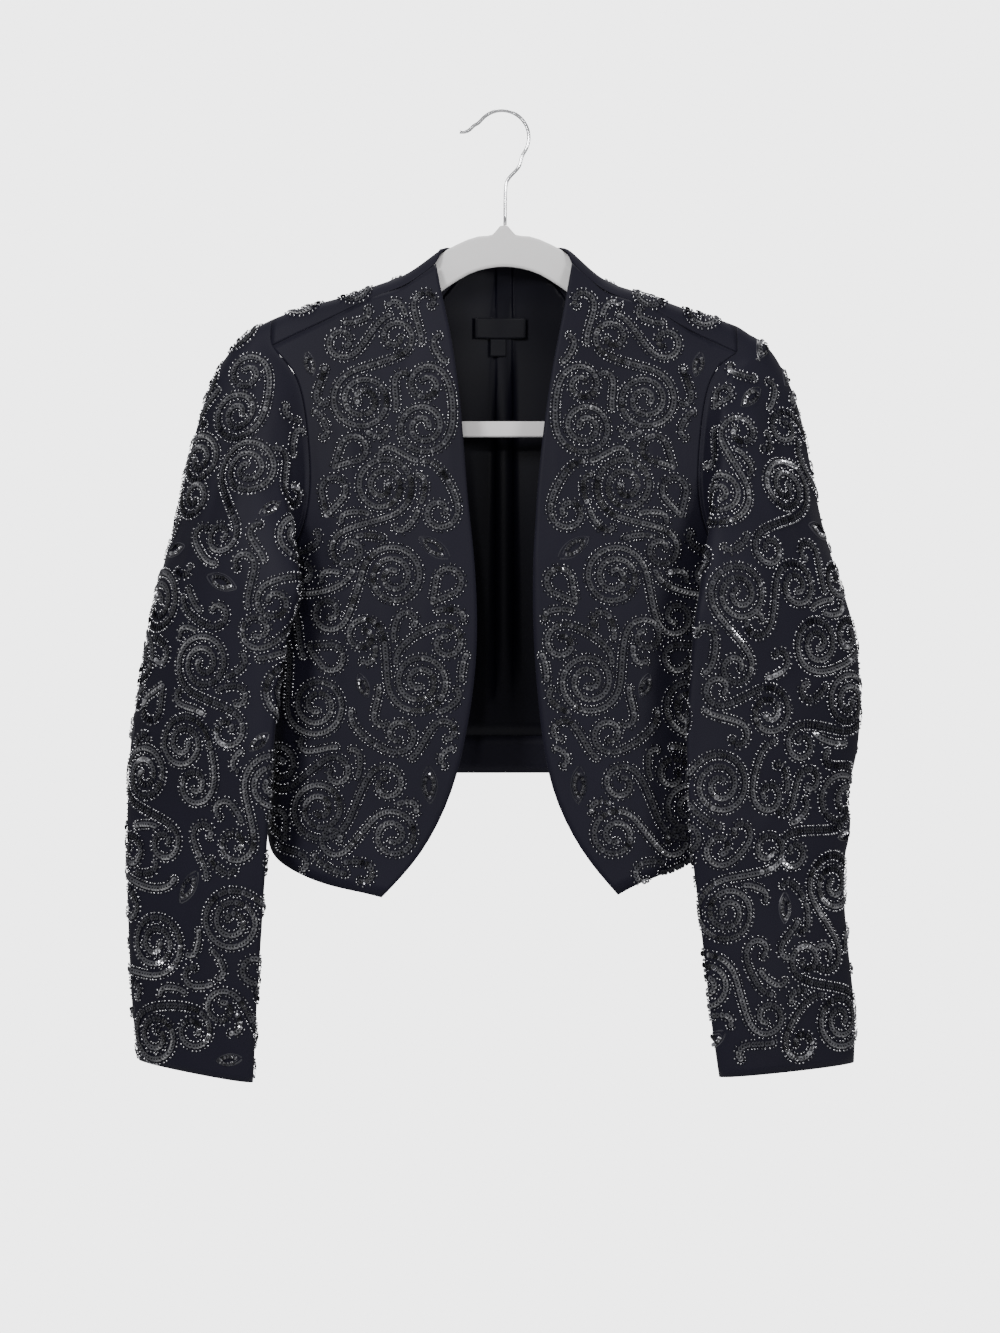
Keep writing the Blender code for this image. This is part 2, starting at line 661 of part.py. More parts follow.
def sleeve_tube(side, sign):
    """The outside of one sleeve, from its head to its cuff, and its outward directions."""
    loop, outwards, into_sleeve = armhole(side, sign)
    steps = np.linalg.norm(np.roll(loop, -1, axis=0) - loop, axis=1)
    turns = np.concatenate(([0], np.cumsum(steps)[:-1])) / steps.sum() * 2 * pi
    sections = SLEEVE[side]
    count = len(sections["front"])
    read = {name: through(range(count), values) for name, values in sections.items()}
    lowering = 2 - np.cos(turns)
    grid = [loop + into_sleeve * HALF_GAP, loop + into_sleeve * HEAD_LEAD]
    for station in (0, *np.linspace(1, count - 1, SLEEVE_RINGS - 2)):
        row = {name: float(reader(station)) for name, reader in read.items()}
        for name in ("outer_x", "inner_x"):
            row[name] *= sign
        ring = rail_ring(row, turns)
        if station == 0:
            head = loop - ring
        else:
            grid.append(ring + head * (row["head"] ** lowering)[:, None])
    grid = np.array(grid)
    normal = tube_normals(grid)
    folds = list(zip(*(SLEEVE_FOLDS[side][name] for name in SLEEVE_FOLDS[side])))
    for i in range(3, len(grid) - 1):
        for j, turn in enumerate(turns):
            height = 0.0
            for z, fold_turn, long, round_, lean, fold in folds:
                drop = (grid[i, j, 2] - z) / long
                spread = (np.degrees(turn) - fold_turn) / round_ - lean * drop
                height += fold * np.exp(-drop * drop - spread * spread)
            grid[i, j] += normal[i, j] * height
    normal = tube_normals(grid)
    normal[0] = outwards
    return grid, smoothed(normal)


def smoothed(normal):
    """Directions evened out over a tube, so that the inside of a tight fold doesn't cross itself."""
    for _ in range(NORMAL_SMOOTHING):
        evened = normal + (np.roll(normal, 1, axis=1) + np.roll(normal, -1, axis=1)) / 2
        evened[1:-1] += (normal[:-2] + normal[2:]) / 2
        evened[0] = normal[0]
        normal = evened / np.linalg.norm(evened, axis=2, keepdims=True)
    return normal


def tube_normals(grid):
    """Outward directions of a tube."""
    normal = normals(grid, True)
    middle = grid.mean(axis=1, keepdims=True)
    return normal * np.sign((normal * (grid - middle)).sum())


def inside_back(x, z, moved):
    """A point moved in from the outside of the back, which the lining spans without its folds."""

    def back_at(x, z):
        return np.array((x, body_y(1, -1 if x < 0 else 1, abs(x), z, folded=False), z))

    here = back_at(x, z)
    normal = unit(np.cross(back_at(x, z + 1) - here, back_at(x + 1, z) - here))
    return here - normal * np.sign(normal[1]) * moved


def pleat_height(x, z):
    """How far the centre pleat of the lining stands out."""
    rise = min((x - PLEAT_LEFT_X) / PLEAT_SLOPE + 1, (PLEAT_RIGHT_X - x) / PLEAT_SLOPE + 1)
    return PLEAT_HEIGHT * min(max(rise, 0.0), 1.0) * ease((z - PLEAT_END_Z) / 40)


def add_inside_back(finishes):
    """Add the lining with its pleat, the hem facing, the neck label and the size tab."""
    shell = WALL + LINING_GAP
    pleat = [PLEAT_LEFT_X - PLEAT_SLOPE, PLEAT_LEFT_X, PLEAT_RIGHT_X, PLEAT_RIGHT_X + PLEAT_SLOPE]

    def rows_of(zs, moved, with_pleat=True):
        grid = []
        for z in zs:
            reach = min(side_out(z) - LINING_INSET, lining_reach(z))
            xs = [reach * share for share in LINING_COLUMNS]
            xs = sorted(xs + [-x for x in xs] + pleat)
            lift = pleat_height if with_pleat else (lambda x, z: 0.0)
            grid.append([inside_back(x, z, moved + lift(x, z)) for x in xs])
        return np.array(grid)

    add_wall("lining_back", rows_of(LINING_ROWS, shell), rows_of(LINING_ROWS, shell + LINING_WALL), finishes["lining"])
    facing_rows = (LINING_ROWS[-1] - GAP, (LINING_ROWS[-1] + BACK_HEM_Z) / 2, BACK_HEM_Z + 0.8)
    facing = [rows_of(facing_rows, moved, False) for moved in (shell, shell + LINING_WALL)]
    add_wall("hem_facing_back", *facing, finishes["cloth"])

    on_lining = shell + LINING_WALL + GAP
    tabs = (
        ("neck_label", LABEL_CENTRE_X, LABEL_WIDTH, LABEL_TOP_Z, LABEL_HEIGHT),
        ("size_tab", TAB_CENTRE_X, TAB_WIDTH, LABEL_TOP_Z - LABEL_HEIGHT - GAP, TAB_HEIGHT),
    )
    for name, centre, width, top, height in tabs:
        xs = np.linspace(centre - width / 2, centre + width / 2, 5)
        zs = np.linspace(top, top - height, 4)
        lift = PLEAT_HEIGHT + LABEL_CLEARANCE
        grids = [
            np.array([[inside_back(x, z, on_lining + lift + thick) for x in xs] for z in zs])
            for thick in (0, LABEL_WALL)
        ]
        add_wall(name, *grids, finishes["label"])


def add_bar(name, rows, closed_section, finish):
    """Loft one closed section along rows of (centre, across) pairs, with flat ends."""
    vertices = []
    for centre, across in rows:
        for share, y in closed_section:
            vertices.append(np.array(centre) + np.array(across) * share + np.array((0, y, 0)))
    size = len(closed_section)
    faces = [tuple(range(size)), tuple(range(len(vertices) - size, len(vertices)))]
    for row in range(len(rows) - 1):
        for i in range(size):
            first, second = row * size + i, row * size + (i + 1) % size
            faces.append((first, second, second + size, first + size))
    return add_object(name, vertices, faces, finish)


def hanger_section():
    """The rounded section of the flocked hanger: share of the half height and distance from the middle plane."""
    half = HANGER_THICK / 2
    return [(1, -half * 0.45), (1, half * 0.45), (0.86, half), (-0.86, half), (-1, half * 0.45), (-1, -half * 0.45),
            (-0.86, -half), (0.86, -half)]


def arm_top(sign, out):
    """Top edge of the hanger arm, just under the shoulder of the cloth."""
    visible = through(ARM_VISIBLE["out"], ARM_VISIBLE["top"])(out)
    seated = ridge_z[SIDE_OF[sign]](out) - WALL - ARM_CLEARANCE
    seated -= ARM_END_DROP * ease((out - ARM_END_FROM) / ARM_END_OVER)
    blend = ease((out - ARM_HIDDEN_FROM) / (ARM_HIDDEN_TO - ARM_HIDDEN_FROM))
    return visible * (1 - blend) + min(seated, visible if out < ARM_HIDDEN_TO else seated) * blend


def arm_rows():
    """Rows of the arms from the left end to the right end."""
    depth = through(ARM_DEPTH["out"], ARM_DEPTH["depth"])
    rows = []
    for sign in (-1, 1):
        half_rows = []
        for out in ARM_STATIONS:
            top = arm_top(sign, out)
            half_rows.append(((sign * out, 0, top - depth(out) / 2), (0, 0, depth(out) / 2)))
        end_top = arm_top(sign, ARM_STATIONS[-1])
        end_half = depth(ARM_STATIONS[-1]) / 2
        middle_x = ARM_STATIONS[-1]
        middle_z = end_top - end_half
        low_z = BAR_Z
        low_half = BAR_HEIGHT / 2
        for turn in (30, 60, 90, 120, 150, 180):
            share = turn / 180
            half = end_half + (low_half - end_half) * share
            angle = radians(turn)
            centre_z = (middle_z + low_z) / 2 + (middle_z - low_z) / 2 * cos(angle)
            centre_x = middle_x + (BAR_HALF_LENGTH - middle_x) * share + END_BULGE * sin(angle)
            slant = (sign * sin(angle) * half, 0, cos(angle) * half)
            half_rows.append(((sign * centre_x, 0, centre_z), slant))
        rows.append(half_rows)
    left, right = rows
    boss = [((0, 0, (BOSS_TOP_Z + arm_top(1, 0) - depth(0)) / 2), (0, 0, (BOSS_TOP_Z - arm_top(1, 0) + depth(0)) / 2))]
    return left[::-1] + boss + right


def add_hanger(finishes):
    """Add the wire hook, the flocked arms and the flocked bar."""
    add_bar("hanger_arms", arm_rows(), hanger_section(), finishes["flock"])
    half = BAR_HALF_LENGTH - GAP
    bar = [((x, 0, BAR_Z), (0, 0, BAR_HEIGHT / 2)) for x in np.linspace(-half, half, 7)]
    add_bar("hanger_bar", bar, hanger_section(), finishes["flock"])

    centre_z = WIRE_RADIUS - HOOK_RADIUS
    route = [(x, z) for x, z in zip(HOOK_TIP["x"], HOOK_TIP["z"])]
    for turn in range(HOOK_START, HOOK_END - 1, -15):
        angle = radians(turn)
        route.append((HOOK_CENTRE_X + HOOK_RADIUS * cos(angle), centre_z + HOOK_RADIUS * sin(angle)))
    route += [(x, z) for x, z in zip(HOOK_STEM["x"], HOOK_STEM["z"])]
    route.append((STEM_X, BOSS_TOP_Z + GAP))
    sides = 10
    points = np.array([(x, 0, z) for x, z in route], float)
    rings = []
    for i, point in enumerate(points):
        along = unit(points[min(i + 1, len(points) - 1)] - points[max(i - 1, 0)])
        across = np.cross(along, (0, 1, 0))
        angles = [2 * pi * k / sides for k in range(sides)]
        rings.append([point + WIRE_RADIUS * (across * cos(a) + np.array((0, 1, 0)) * sin(a)) for a in angles])
    faces = [tuple(range(sides)), tuple(range((len(rings) - 1) * sides, len(rings) * sides))]
    for row in range(len(rings) - 1):
        for i in range(sides):
            first, second = row * sides + i, row * sides + (i + 1) % sides
            faces.append((first, second, second + sides, first + sides))
    add_object("hanger_hook", [v for ring in rings for v in ring], faces, finishes["chrome"])


def add_jacket(finishes):
    """Add the fronts, back, sleeves and the pieces that show inside the back."""
    for side, sign in SIDES:
        front, outwards = front_panel(side, sign)
        add_wall(f"front_{side}", front, front - outwards * WALL, finishes["cloth"])
        sleeve, outwards = sleeve_tube(side, sign)
        add_wall(f"sleeve_{side}", sleeve, sleeve - outwards * WALL, finishes["cloth"], closed=True)
    back, outwards = back_panel()
    add_wall("back", back, back - outwards * WALL, finishes["cloth"])


def build():
    """Clear the scene and make every piece."""
    for old in list(bpy.data.objects):
        bpy.data.objects.remove(old)
    finishes = {
        "cloth": material("black_crepe", (0.012, 0.012, 0.018), 0.6),
        "lining": material("black_satin", (0.008, 0.008, 0.014), 0.35),
        "label": material("label_weave", (0.02, 0.02, 0.024), 0.55),
        "flock": material("pale_flock", (0.66, 0.64, 0.64), 0.95),
        "chrome": material("polished_chrome", (0.8, 0.8, 0.82), 0.12, 1.0),
    }
    add_jacket(finishes)
    add_inside_back(finishes)
    add_hanger(finishes)


build()
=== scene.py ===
# %% [markdown]
# # A beaded bolero jacket on a slim hanger
#
# The jacket is black crepe, covered in scrolls. Each scroll is a band of matte sequins with a row of
# glass seed beads down both sides. This lesson dresses a plain solid model of the jacket: it gives each
# cloth piece a finer skin, draws the scrolls on the cloth, as an embroiderer would with chalk, and sews
# the sequins and beads onto the skin one by one.

from math import cos, degrees, pi, radians, sin, tan

import bmesh
import bpy
import numpy as np
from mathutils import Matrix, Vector, noise
from mathutils.bvhtree import BVHTree
from mathutils.kdtree import KDTree


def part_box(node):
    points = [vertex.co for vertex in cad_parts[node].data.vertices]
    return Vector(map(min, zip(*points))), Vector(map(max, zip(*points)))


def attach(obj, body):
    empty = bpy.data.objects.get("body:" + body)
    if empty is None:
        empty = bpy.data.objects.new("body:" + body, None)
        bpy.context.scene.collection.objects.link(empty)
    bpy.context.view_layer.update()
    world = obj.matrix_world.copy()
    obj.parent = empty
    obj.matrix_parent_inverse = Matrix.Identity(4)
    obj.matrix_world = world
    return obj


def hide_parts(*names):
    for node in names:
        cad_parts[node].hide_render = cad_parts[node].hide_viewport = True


MM = 0.001
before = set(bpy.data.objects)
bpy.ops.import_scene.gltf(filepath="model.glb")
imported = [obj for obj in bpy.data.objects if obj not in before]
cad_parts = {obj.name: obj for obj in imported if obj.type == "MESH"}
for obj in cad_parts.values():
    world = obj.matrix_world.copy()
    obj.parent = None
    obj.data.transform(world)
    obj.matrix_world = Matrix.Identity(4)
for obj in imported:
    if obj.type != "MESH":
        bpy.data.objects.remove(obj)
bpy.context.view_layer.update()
print("solids:", sorted(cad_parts))

# %% [markdown]
# ## The camera
#
# The photograph was taken straight on, from about two metres. At the hanger one pixel of it is 0.78 mm,
# so the height of the picture gives the lens: a camera of known distance has to take in a known height.

# %% Camera
PIXEL_MM = 0.78
PICTURE_HEIGHT_PIXELS = 1333
PICTURE_HEIGHT_MM = PICTURE_HEIGHT_PIXELS * PIXEL_MM
CAMERA_DISTANCE = 2.2
CAMERA_X = -0.0031
CAMERA_Z = -0.4325
SENSOR_MM = 36.0

camera_data = bpy.data.cameras.new("camera")
camera_data.sensor_width = SENSOR_MM
camera_data.lens = SENSOR_MM * CAMERA_DISTANCE / (PICTURE_HEIGHT_MM * MM)
camera = bpy.data.objects.new("camera", camera_data)
camera.location = (CAMERA_X, -CAMERA_DISTANCE, CAMERA_Z)
camera.rotation_euler = (radians(90), 0, 0)
bpy.context.scene.collection.objects.link(camera)
bpy.context.scene.camera = camera
print("lens, mm:", round(camera_data.lens, 1))

# %% [markdown]
# ## Light and air
#
# Black cloth shows its shape only by what it reflects. Two soft lamps stand to the sides of the camera
# for the cloth, and a small one near the lens puts the glints on the glass beads. Two more draw the
# shoulders and the back out of the dark. The world is pale where the camera sees it, and dimmer as a
# light, or every bead would turn grey.

# %% Light
# Each lamp: its name, its place and its side in metres, and its power in watts.
BACKGROUND = (0.83, 0.83, 0.835, 1)
SEEN_STRENGTH = 4.8
AMBIENT = 0.55
LAMPS = (
    ("key", (-1.2, -2.0, 0.7), 0.5, 40),
    ("fill", (1.4, -1.9, 0.1), 0.5, 24),
    ("glint", (-0.25, -2.3, 0.35), 0.14, 9),
    ("top", (0.1, 0.4, 1.3), 0.8, 22),
    ("behind", (-0.6, 2.2, 0.3), 0.9, 26),
)


def add_lamp(name, place, size, power):
    """Add one square soft lamp that faces the middle of the jacket."""
    lamp = bpy.data.lights.new(name, "AREA")
    lamp.size = size
    lamp.energy = power
    holder = bpy.data.objects.new(name, lamp)
    holder.location = place
    aim = Vector((0, 0, CAMERA_Z)) - Vector(place)
    holder.rotation_euler = aim.to_track_quat("-Z", "Y").to_euler()
    bpy.context.scene.collection.objects.link(holder)


for lamp_row in LAMPS:
    add_lamp(*lamp_row)

world = bpy.data.worlds.new("studio")
world.use_nodes = True
bpy.context.scene.world = world
sky = world.node_tree.nodes["Background"]
sky.inputs["Color"].default_value = BACKGROUND
seen = world.node_tree.nodes.new("ShaderNodeLightPath")
strength = world.node_tree.nodes.new("ShaderNodeMapRange")
strength.inputs["To Min"].default_value = AMBIENT
strength.inputs["To Max"].default_value = SEEN_STRENGTH
world.node_tree.links.new(seen.outputs["Is Camera Ray"], strength.inputs["Value"])
world.node_tree.links.new(strength.outputs["Result"], sky.inputs["Strength"])
print("lamps:", len(LAMPS))

# %% [markdown]
# ## Effects that several finishes share
#
# Cloth, lining, label and flock all have a fine grain and a slow, uneven tone. Each effect is a node
# group with its own inputs, built once. A group gives out only heights and masks. The shader itself
# stays in each material.

# %% Shared node groups


def new_group(name, inputs, outputs):
    """Start a shader node group with float sockets and return it with its two end nodes."""
    group = bpy.data.node_groups.new(name, "ShaderNodeTree")
    for socket in inputs:
        made = group.interface.new_socket(socket, in_out="INPUT", socket_type="NodeSocketFloat")
        made.default_value = inputs[socket]
    for socket in outputs:
        group.interface.new_socket(socket, in_out="OUTPUT", socket_type="NodeSocketFloat")
    return group, group.nodes.new("NodeGroupInput"), group.nodes.new("NodeGroupOutput")


def grain_group():
    """Two crossed thread waves broken up by noise, for woven cloth: a height from 0 to 1."""
    group, inputs, outputs = new_group("Woven grain", {"Threads per metre": 2600.0, "Slub": 0.5}, ["Height"])
    place = group.nodes.new("ShaderNodeTexCoord")
    speckle = group.nodes.new("ShaderNodeTexNoise")
    link = group.links.new
    link(place.outputs["Object"], speckle.inputs["Vector"])
    link(inputs.outputs["Threads per metre"], speckle.inputs["Scale"])
    speckle.inputs["Detail"].default_value = 2.0
    total = speckle.outputs["Fac"]
    for direction in ("X", "Z"):
        wave = group.nodes.new("ShaderNodeTexWave")
        wave.bands_direction = direction
        wave.inputs["Distortion"].default_value = 1.5
        link(place.outputs["Object"], wave.inputs["Vector"])
        quarter = group.nodes.new("ShaderNodeMath")
        quarter.operation = "MULTIPLY"
        quarter.inputs[1].default_value = 0.25
        link(inputs.outputs["Threads per metre"], quarter.inputs[0])
        link(quarter.outputs[0], wave.inputs["Scale"])
        share = group.nodes.new("ShaderNodeMath")
        share.operation = "MULTIPLY_ADD"
        share.inputs[1].default_value = 0.3
        link(wave.outputs["Fac"], share.inputs[0])
        link(total, share.inputs[2])
        total = share.outputs[0]
    slub = group.nodes.new("ShaderNodeMath")
    slub.operation = "MULTIPLY"
    link(total, slub.inputs[0])
    link(inputs.outputs["Slub"], slub.inputs[1])
    link(slub.outputs[0], outputs.inputs["Height"])
    return group


def tone_group():
    """Slow patches where cloth is a little paler, from handling and dust: a mask from 0 to 1."""
    group, inputs, outputs = new_group("Uneven tone", {"Patch scale": 9.0, "Contrast": 0.5}, ["Mask"])
    place = group.nodes.new("ShaderNodeTexCoord")
    patches = group.nodes.new("ShaderNodeTexNoise")
    patches.inputs["Detail"].default_value = 4.0
    spread = group.nodes.new("ShaderNodeMath")
    spread.operation = "MULTIPLY"
    link = group.links.new
    link(place.outputs["Object"], patches.inputs["Vector"])
    link(inputs.outputs["Patch scale"], patches.inputs["Scale"])
    link(patches.outputs["Fac"], spread.inputs[0])
    link(inputs.outputs["Contrast"], spread.inputs[1])
    link(spread.outputs[0], outputs.inputs["Mask"])
    return group


GRAIN = grain_group()
TONE = tone_group()
print("groups:", GRAIN.name, "and", TONE.name)

# %% [markdown]
# ## The finishes
#
# Crepe is matt and slightly blue, with a sheen at grazing angles. The lining is a smoother satin. The
# sequins are charcoal and half matt, each a little different. The beads are black glass that mirrors the
# lamps, which is drawn here as a grey metal much paler than black glass: the pale colour is a painted
# reflection of a bright room, and each bead carries one clear highlight. The hanger is pale flock over
# plastic, and its hook is polished wire.

# %% Finishes


def start_material(name, roughness, metallic=0.0):
    """Make a Principled material and return it with its shader."""
    made = bpy.data.materials.new(name)
    made.use_nodes = True
    shader = made.node_tree.nodes["Principled BSDF"]
    shader.inputs["Roughness"].default_value = roughness
    shader.inputs["Metallic"].default_value = metallic
    return made, shader


def mix_colours(tree, mask, low, high):
    """Two colours mixed by a mask socket."""
    mix = tree.nodes.new("ShaderNodeMix")
    mix.data_type = "RGBA"
    mix.inputs["A"].default_value = (*low, 1)
    mix.inputs["B"].default_value = (*high, 1)
    tree.links.new(mask, mix.inputs["Factor"])
    return mix.outputs["Result"]


def woven(name, low, high, roughness, threads, relief, sheen, shine, contrast=0.9):
    """A cloth finish with woven relief, uneven tone, sheen and a share of the shine of plastic."""
    made, shader = start_material(name, roughness)
    shader.inputs["Specular IOR Level"].default_value = shine
    tree = made.node_tree
    tone = tree.nodes.new("ShaderNodeGroup")
    tone.node_tree = TONE
    tone.inputs["Contrast"].default_value = contrast
    grain = tree.nodes.new("ShaderNodeGroup")
    grain.node_tree = GRAIN
    grain.inputs["Threads per metre"].default_value = threads
    bump = tree.nodes.new("ShaderNodeBump")
    bump.inputs["Strength"].default_value = 0.5
    bump.inputs["Distance"].default_value = relief * MM
    tree.links.new(mix_colours(tree, tone.outputs["Mask"], low, high), shader.inputs["Base Color"])
    tree.links.new(grain.outputs["Height"], bump.inputs["Height"])
    tree.links.new(bump.outputs["Normal"], shader.inputs["Normal"])
    shader.inputs["Sheen Weight"].default_value = sheen
    shader.inputs["Sheen Roughness"].default_value = 0.45
    return made


def trimming(name, low, high, roughness, coat, metallic=0.0, shine=0.5):
    """A finish for sewn-on pieces, each one a little lighter or darker than the next."""
    made, shader = start_material(name, roughness, metallic)
    tree = made.node_tree
    island = tree.nodes.new("ShaderNodeNewGeometry")
    colour = mix_colours(tree, island.outputs["Random Per Island"], low, high)
    tree.links.new(colour, shader.inputs["Base Color"])
    shader.inputs["Specular IOR Level"].default_value = shine
    shader.inputs["Coat Weight"].default_value = coat
    shader.inputs["Coat Roughness"].default_value = 0.12
    return made


CREPE = woven("black crepe", (0.0026, 0.0022, 0.0072), (0.0068, 0.0060, 0.0150), 0.6, 2600, 0.10, 0.04, 0.16)
SATIN = woven("black satin", (0.0010, 0.0010, 0.0030), (0.0030, 0.0028, 0.0070), 0.42, 4200, 0.03, 0.0, 0.1)
LABEL = woven("woven label", (0.0022, 0.0022, 0.004), (0.006, 0.006, 0.009), 0.5, 1500, 0.12, 0.01, 0.12)
FLOCK = woven("pale flock", (0.66, 0.645, 0.645), (0.80, 0.79, 0.79), 0.95, 1500, 0.30, 0.45, 0.3, 0.6)
# The leaf thread is the cloth's own colour; its paler colour here is a painted sheen of the satin stitch.
THREAD_WITH_PAINTED_SHEEN = trimming("satin stitch thread with painted sheen", (0.009, 0.009, 0.015), (0.020, 0.019, 0.028), 0.34, 0.0)
# Each stitch is black thread; its near-black, shineless colour is also painted shade in the sequin hole.
STITCH_WITH_PAINTED_HOLE_SHADE = trimming("sequin stitches_with_painted_hole_shade", (0.001, 0.001, 0.002), (0.003, 0.003, 0.005), 0.9, 0.0, 0.0, 0.0)
SEQUIN = trimming("charcoal sequins", (0.022, 0.022, 0.027), (0.044, 0.044, 0.052), 0.4, 0.0)
# The glossy sequins have real gloss, and their pale metal colour is a painted reflection of a bright room.
GLOSSY_SEQUIN_WITH_PAINTED_REFLECTION = trimming("glossy sequins with painted reflection", (0.08, 0.08, 0.09), (0.42, 0.42, 0.44), 0.2, 0.0, 0.9)
# The beads are black glass; their pale metal colour is a painted reflection of a bright room, which the
# dimmed world light doesn't give.
BEAD_WITH_PAINTED_REFLECTION = trimming("black glass beads with painted reflection", (0.07, 0.07, 0.08), (0.46, 0.46, 0.48), 0.17, 0.0, 1.0)


def wire_finish():
    """Polished wire whose shine is broken by faint drawing marks."""
    made, shader = start_material("polished wire", 0.16, 1.0)
    tree = made.node_tree
    tone = tree.nodes.new("ShaderNodeGroup")
    tone.node_tree = TONE
    tone.inputs["Patch scale"].default_value = 300.0
    tree.links.new(mix_colours(tree, tone.outputs["Mask"], (0.66, 0.66, 0.68), (0.86, 0.86, 0.87)),
                   shader.inputs["Base Color"])
    return made


def plain_floor():
    """A matt pale floor."""
    made, shader = start_material("pale floor", 0.9)
    tree = made.node_tree
    tone = tree.nodes.new("ShaderNodeGroup")
    tone.node_tree = TONE
    tone.inputs["Contrast"].default_value = 0.3
    tree.links.new(mix_colours(tree, tone.outputs["Mask"], (0.74, 0.74, 0.75), (0.80, 0.80, 0.81)),
                   shader.inputs["Base Color"])
    return made


WIRE = wire_finish()
FLOOR = plain_floor()
print("finishes:", len(bpy.data.materials))

# %% [markdown]
# ## The floor
#
# The jacket hangs, so the floor only catches its shadow in other views. It is small enough to stay out
# of the photograph's view, where nothing but pale air shows.

# %% Floor
FLOOR_Z = -1.35
FLOOR_HALF = 0.95
FLOOR_SIDES = ((-1, -1), (1, -1), (1, 1), (-1, 1))
floor_mesh = bpy.data.meshes.new("floor")
floor_corners = [(x * FLOOR_HALF, y * FLOOR_HALF, FLOOR_Z) for x, y in FLOOR_SIDES]
floor_mesh.from_pydata(floor_corners, [], [(0, 1, 2, 3)])
floor_mesh.materials.append(FLOOR)
floor = bpy.data.objects.new("floor", floor_mesh)
bpy.context.scene.collection.objects.link(floor)
print("floor at", FLOOR_Z)

# %% [markdown]
# ## A finer skin for each piece
#
# The solids are made of flat facets. A skin starts from a solid's own mesh: the split corners are
# welded, the triangles are joined back into squares, and Subdivision Surface rounds the whole. The edges
# of the cloth are creased, so that they stay where they are. This way every skin fits its neighbours.

# %% Make a skin from a solid
WELD_MM = 0.01
RIM_ANGLE = radians(50)
SQUARE_BEND = radians(35)
SQUARE_SKEW = radians(70)


def welded(node):
    """A solid's own mesh for editing, with its split corners joined."""
    shell = bmesh.new()
    shell.from_mesh(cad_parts[node].data)
    bmesh.ops.remove_doubles(shell, verts=shell.verts, dist=WELD_MM * MM)
    return shell


def skin_mesh(node, levels):
    """The solid's mesh, welded, squared up and subdivided, with its cut edges kept."""
    shell = welded(node)
    bmesh.ops.join_triangles(
        shell, faces=shell.faces, angle_face_threshold=SQUARE_BEND, angle_shape_threshold=SQUARE_SKEW
    )
    crease = shell.edges.layers.float.new("crease_edge")
    for edge in shell.edges:
        if len(edge.link_faces) == 2 and edge.calc_face_angle() > RIM_ANGLE:
            edge[crease] = 1.0
    mesh = bpy.data.meshes.new(node)
    shell.to_mesh(mesh)
    shell.free()
    holder = bpy.data.objects.new(node, mesh)
    bpy.context.scene.collection.objects.link(holder)
    smooth = holder.modifiers.new("Smooth", "SUBSURF")
    smooth.levels = levels
    smooth.render_levels = levels
    graph = bpy.context.evaluated_depsgraph_get()
    fine = bpy.data.meshes.new_from_object(holder.evaluated_get(graph))
    bpy.data.objects.remove(holder)
    return fine


def points_of(mesh):
    """A mesh's points in millimetres, as an array."""
    flat = np.zeros(len(mesh.vertices) * 3, np.float32)
    mesh.vertices.foreach_get("co", flat)
    return flat.reshape(-1, 3).astype(float) / MM


def set_points(mesh, points):
    """Write points in millimetres back into a mesh."""
    mesh.vertices.foreach_set("co", (points * MM).astype(np.float32).ravel())
    mesh.update()


def show(name, mesh, finish, slot, *nodes):
    """Link a mesh as a piece of the jacket, in place of the solids it stands for."""
    mesh.materials.clear()
    mesh.materials.append(finish)
    piece = bpy.data.objects.new(name, mesh)
    bpy.context.scene.collection.objects.link(piece)
    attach(piece, "root")
    if nodes:
        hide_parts(*nodes)
    return piece


print("a skin keeps edges that turn more than", round(degrees(RIM_ANGLE)), "degrees")

# %% [markdown]
# ## Soft wrinkles
#
# The solids already hold the large folds. Hanging crepe also has small ones: short drag lines that run
# from the shoulder, and creases where the elbow was. Each is a soft trough or ridge along a line, in a
# table with its place, its length and its height. They die away near the seams, so that the edges of
# neighbouring pieces still meet.

# %% Wrinkles


def table(columns, *rows):
    """Rows of numbers as dictionaries with the given column names."""
    names = columns.split()
    return [dict(zip(names, row)) for row in rows]


# In millimetres: how far out from the middle of the jacket a wrinkle starts, its two ends, how much it
# leans outwards for each millimetre down, its half width and its height. Below zero it is a trough.
BODY_WRINKLES = table(
    "out top low lean width height",
    (150, -215, -290, -0.10, 5, 0.9), (136, -240, -345, -0.16, 6, -0.9), (112, -205, -300, 0.06, 6, 0.8),
    (84, -300, -420, 0.05, 7, 0.9), (150, -375, -470, -0.12, 6, 1.0), (128, -420, -530, 0.10, 7, -0.9),
    (60, -380, -470, 0.12, 6, 0.7), (160, -470, -540, -0.20, 5, 0.9), (96, -470, -560, 0.16, 6, 0.8),
    (40, -240, -330, 0.02, 5, 0.5), (72, -175, -250, 0.10, 6, -0.6), (104, -520, -580, -0.2, 5, -0.7),
)
SLEEVE_WRINKLES = table(
    "out top low lean width height",
    (190, -215, -330, 0.16, 5, 1.2), (206, -230, -360, 0.22, 6, -1.2), (222, -270, -390, 0.26, 5, 1.0),
    (196, -350, -440, -0.12, 6, 1.1), (232, -430, -470, -1.00, 5, -1.3), (222, -455, -500, 0.90, 5, 1.2),
    (244, -500, -550, -0.90, 5, 1.2), (206, -520, -600, 0.30, 6, -1.0), (252, -560, -600, 0.80, 5, -1.2),
    (228, -600, -700, -0.08, 6, 1.0), (246, -640, -720, 0.10, 6, -0.9), (206, -650, -730, 0.06, 5, 0.9),
)
OVERRUN = 0.3
FADE = 0.5


def ease(t):
    """Rise smoothly from 0 to 1, for arrays."""
    t = np.clip(t, 0.0, 1.0)
    return t * t * (3 - 2 * t)


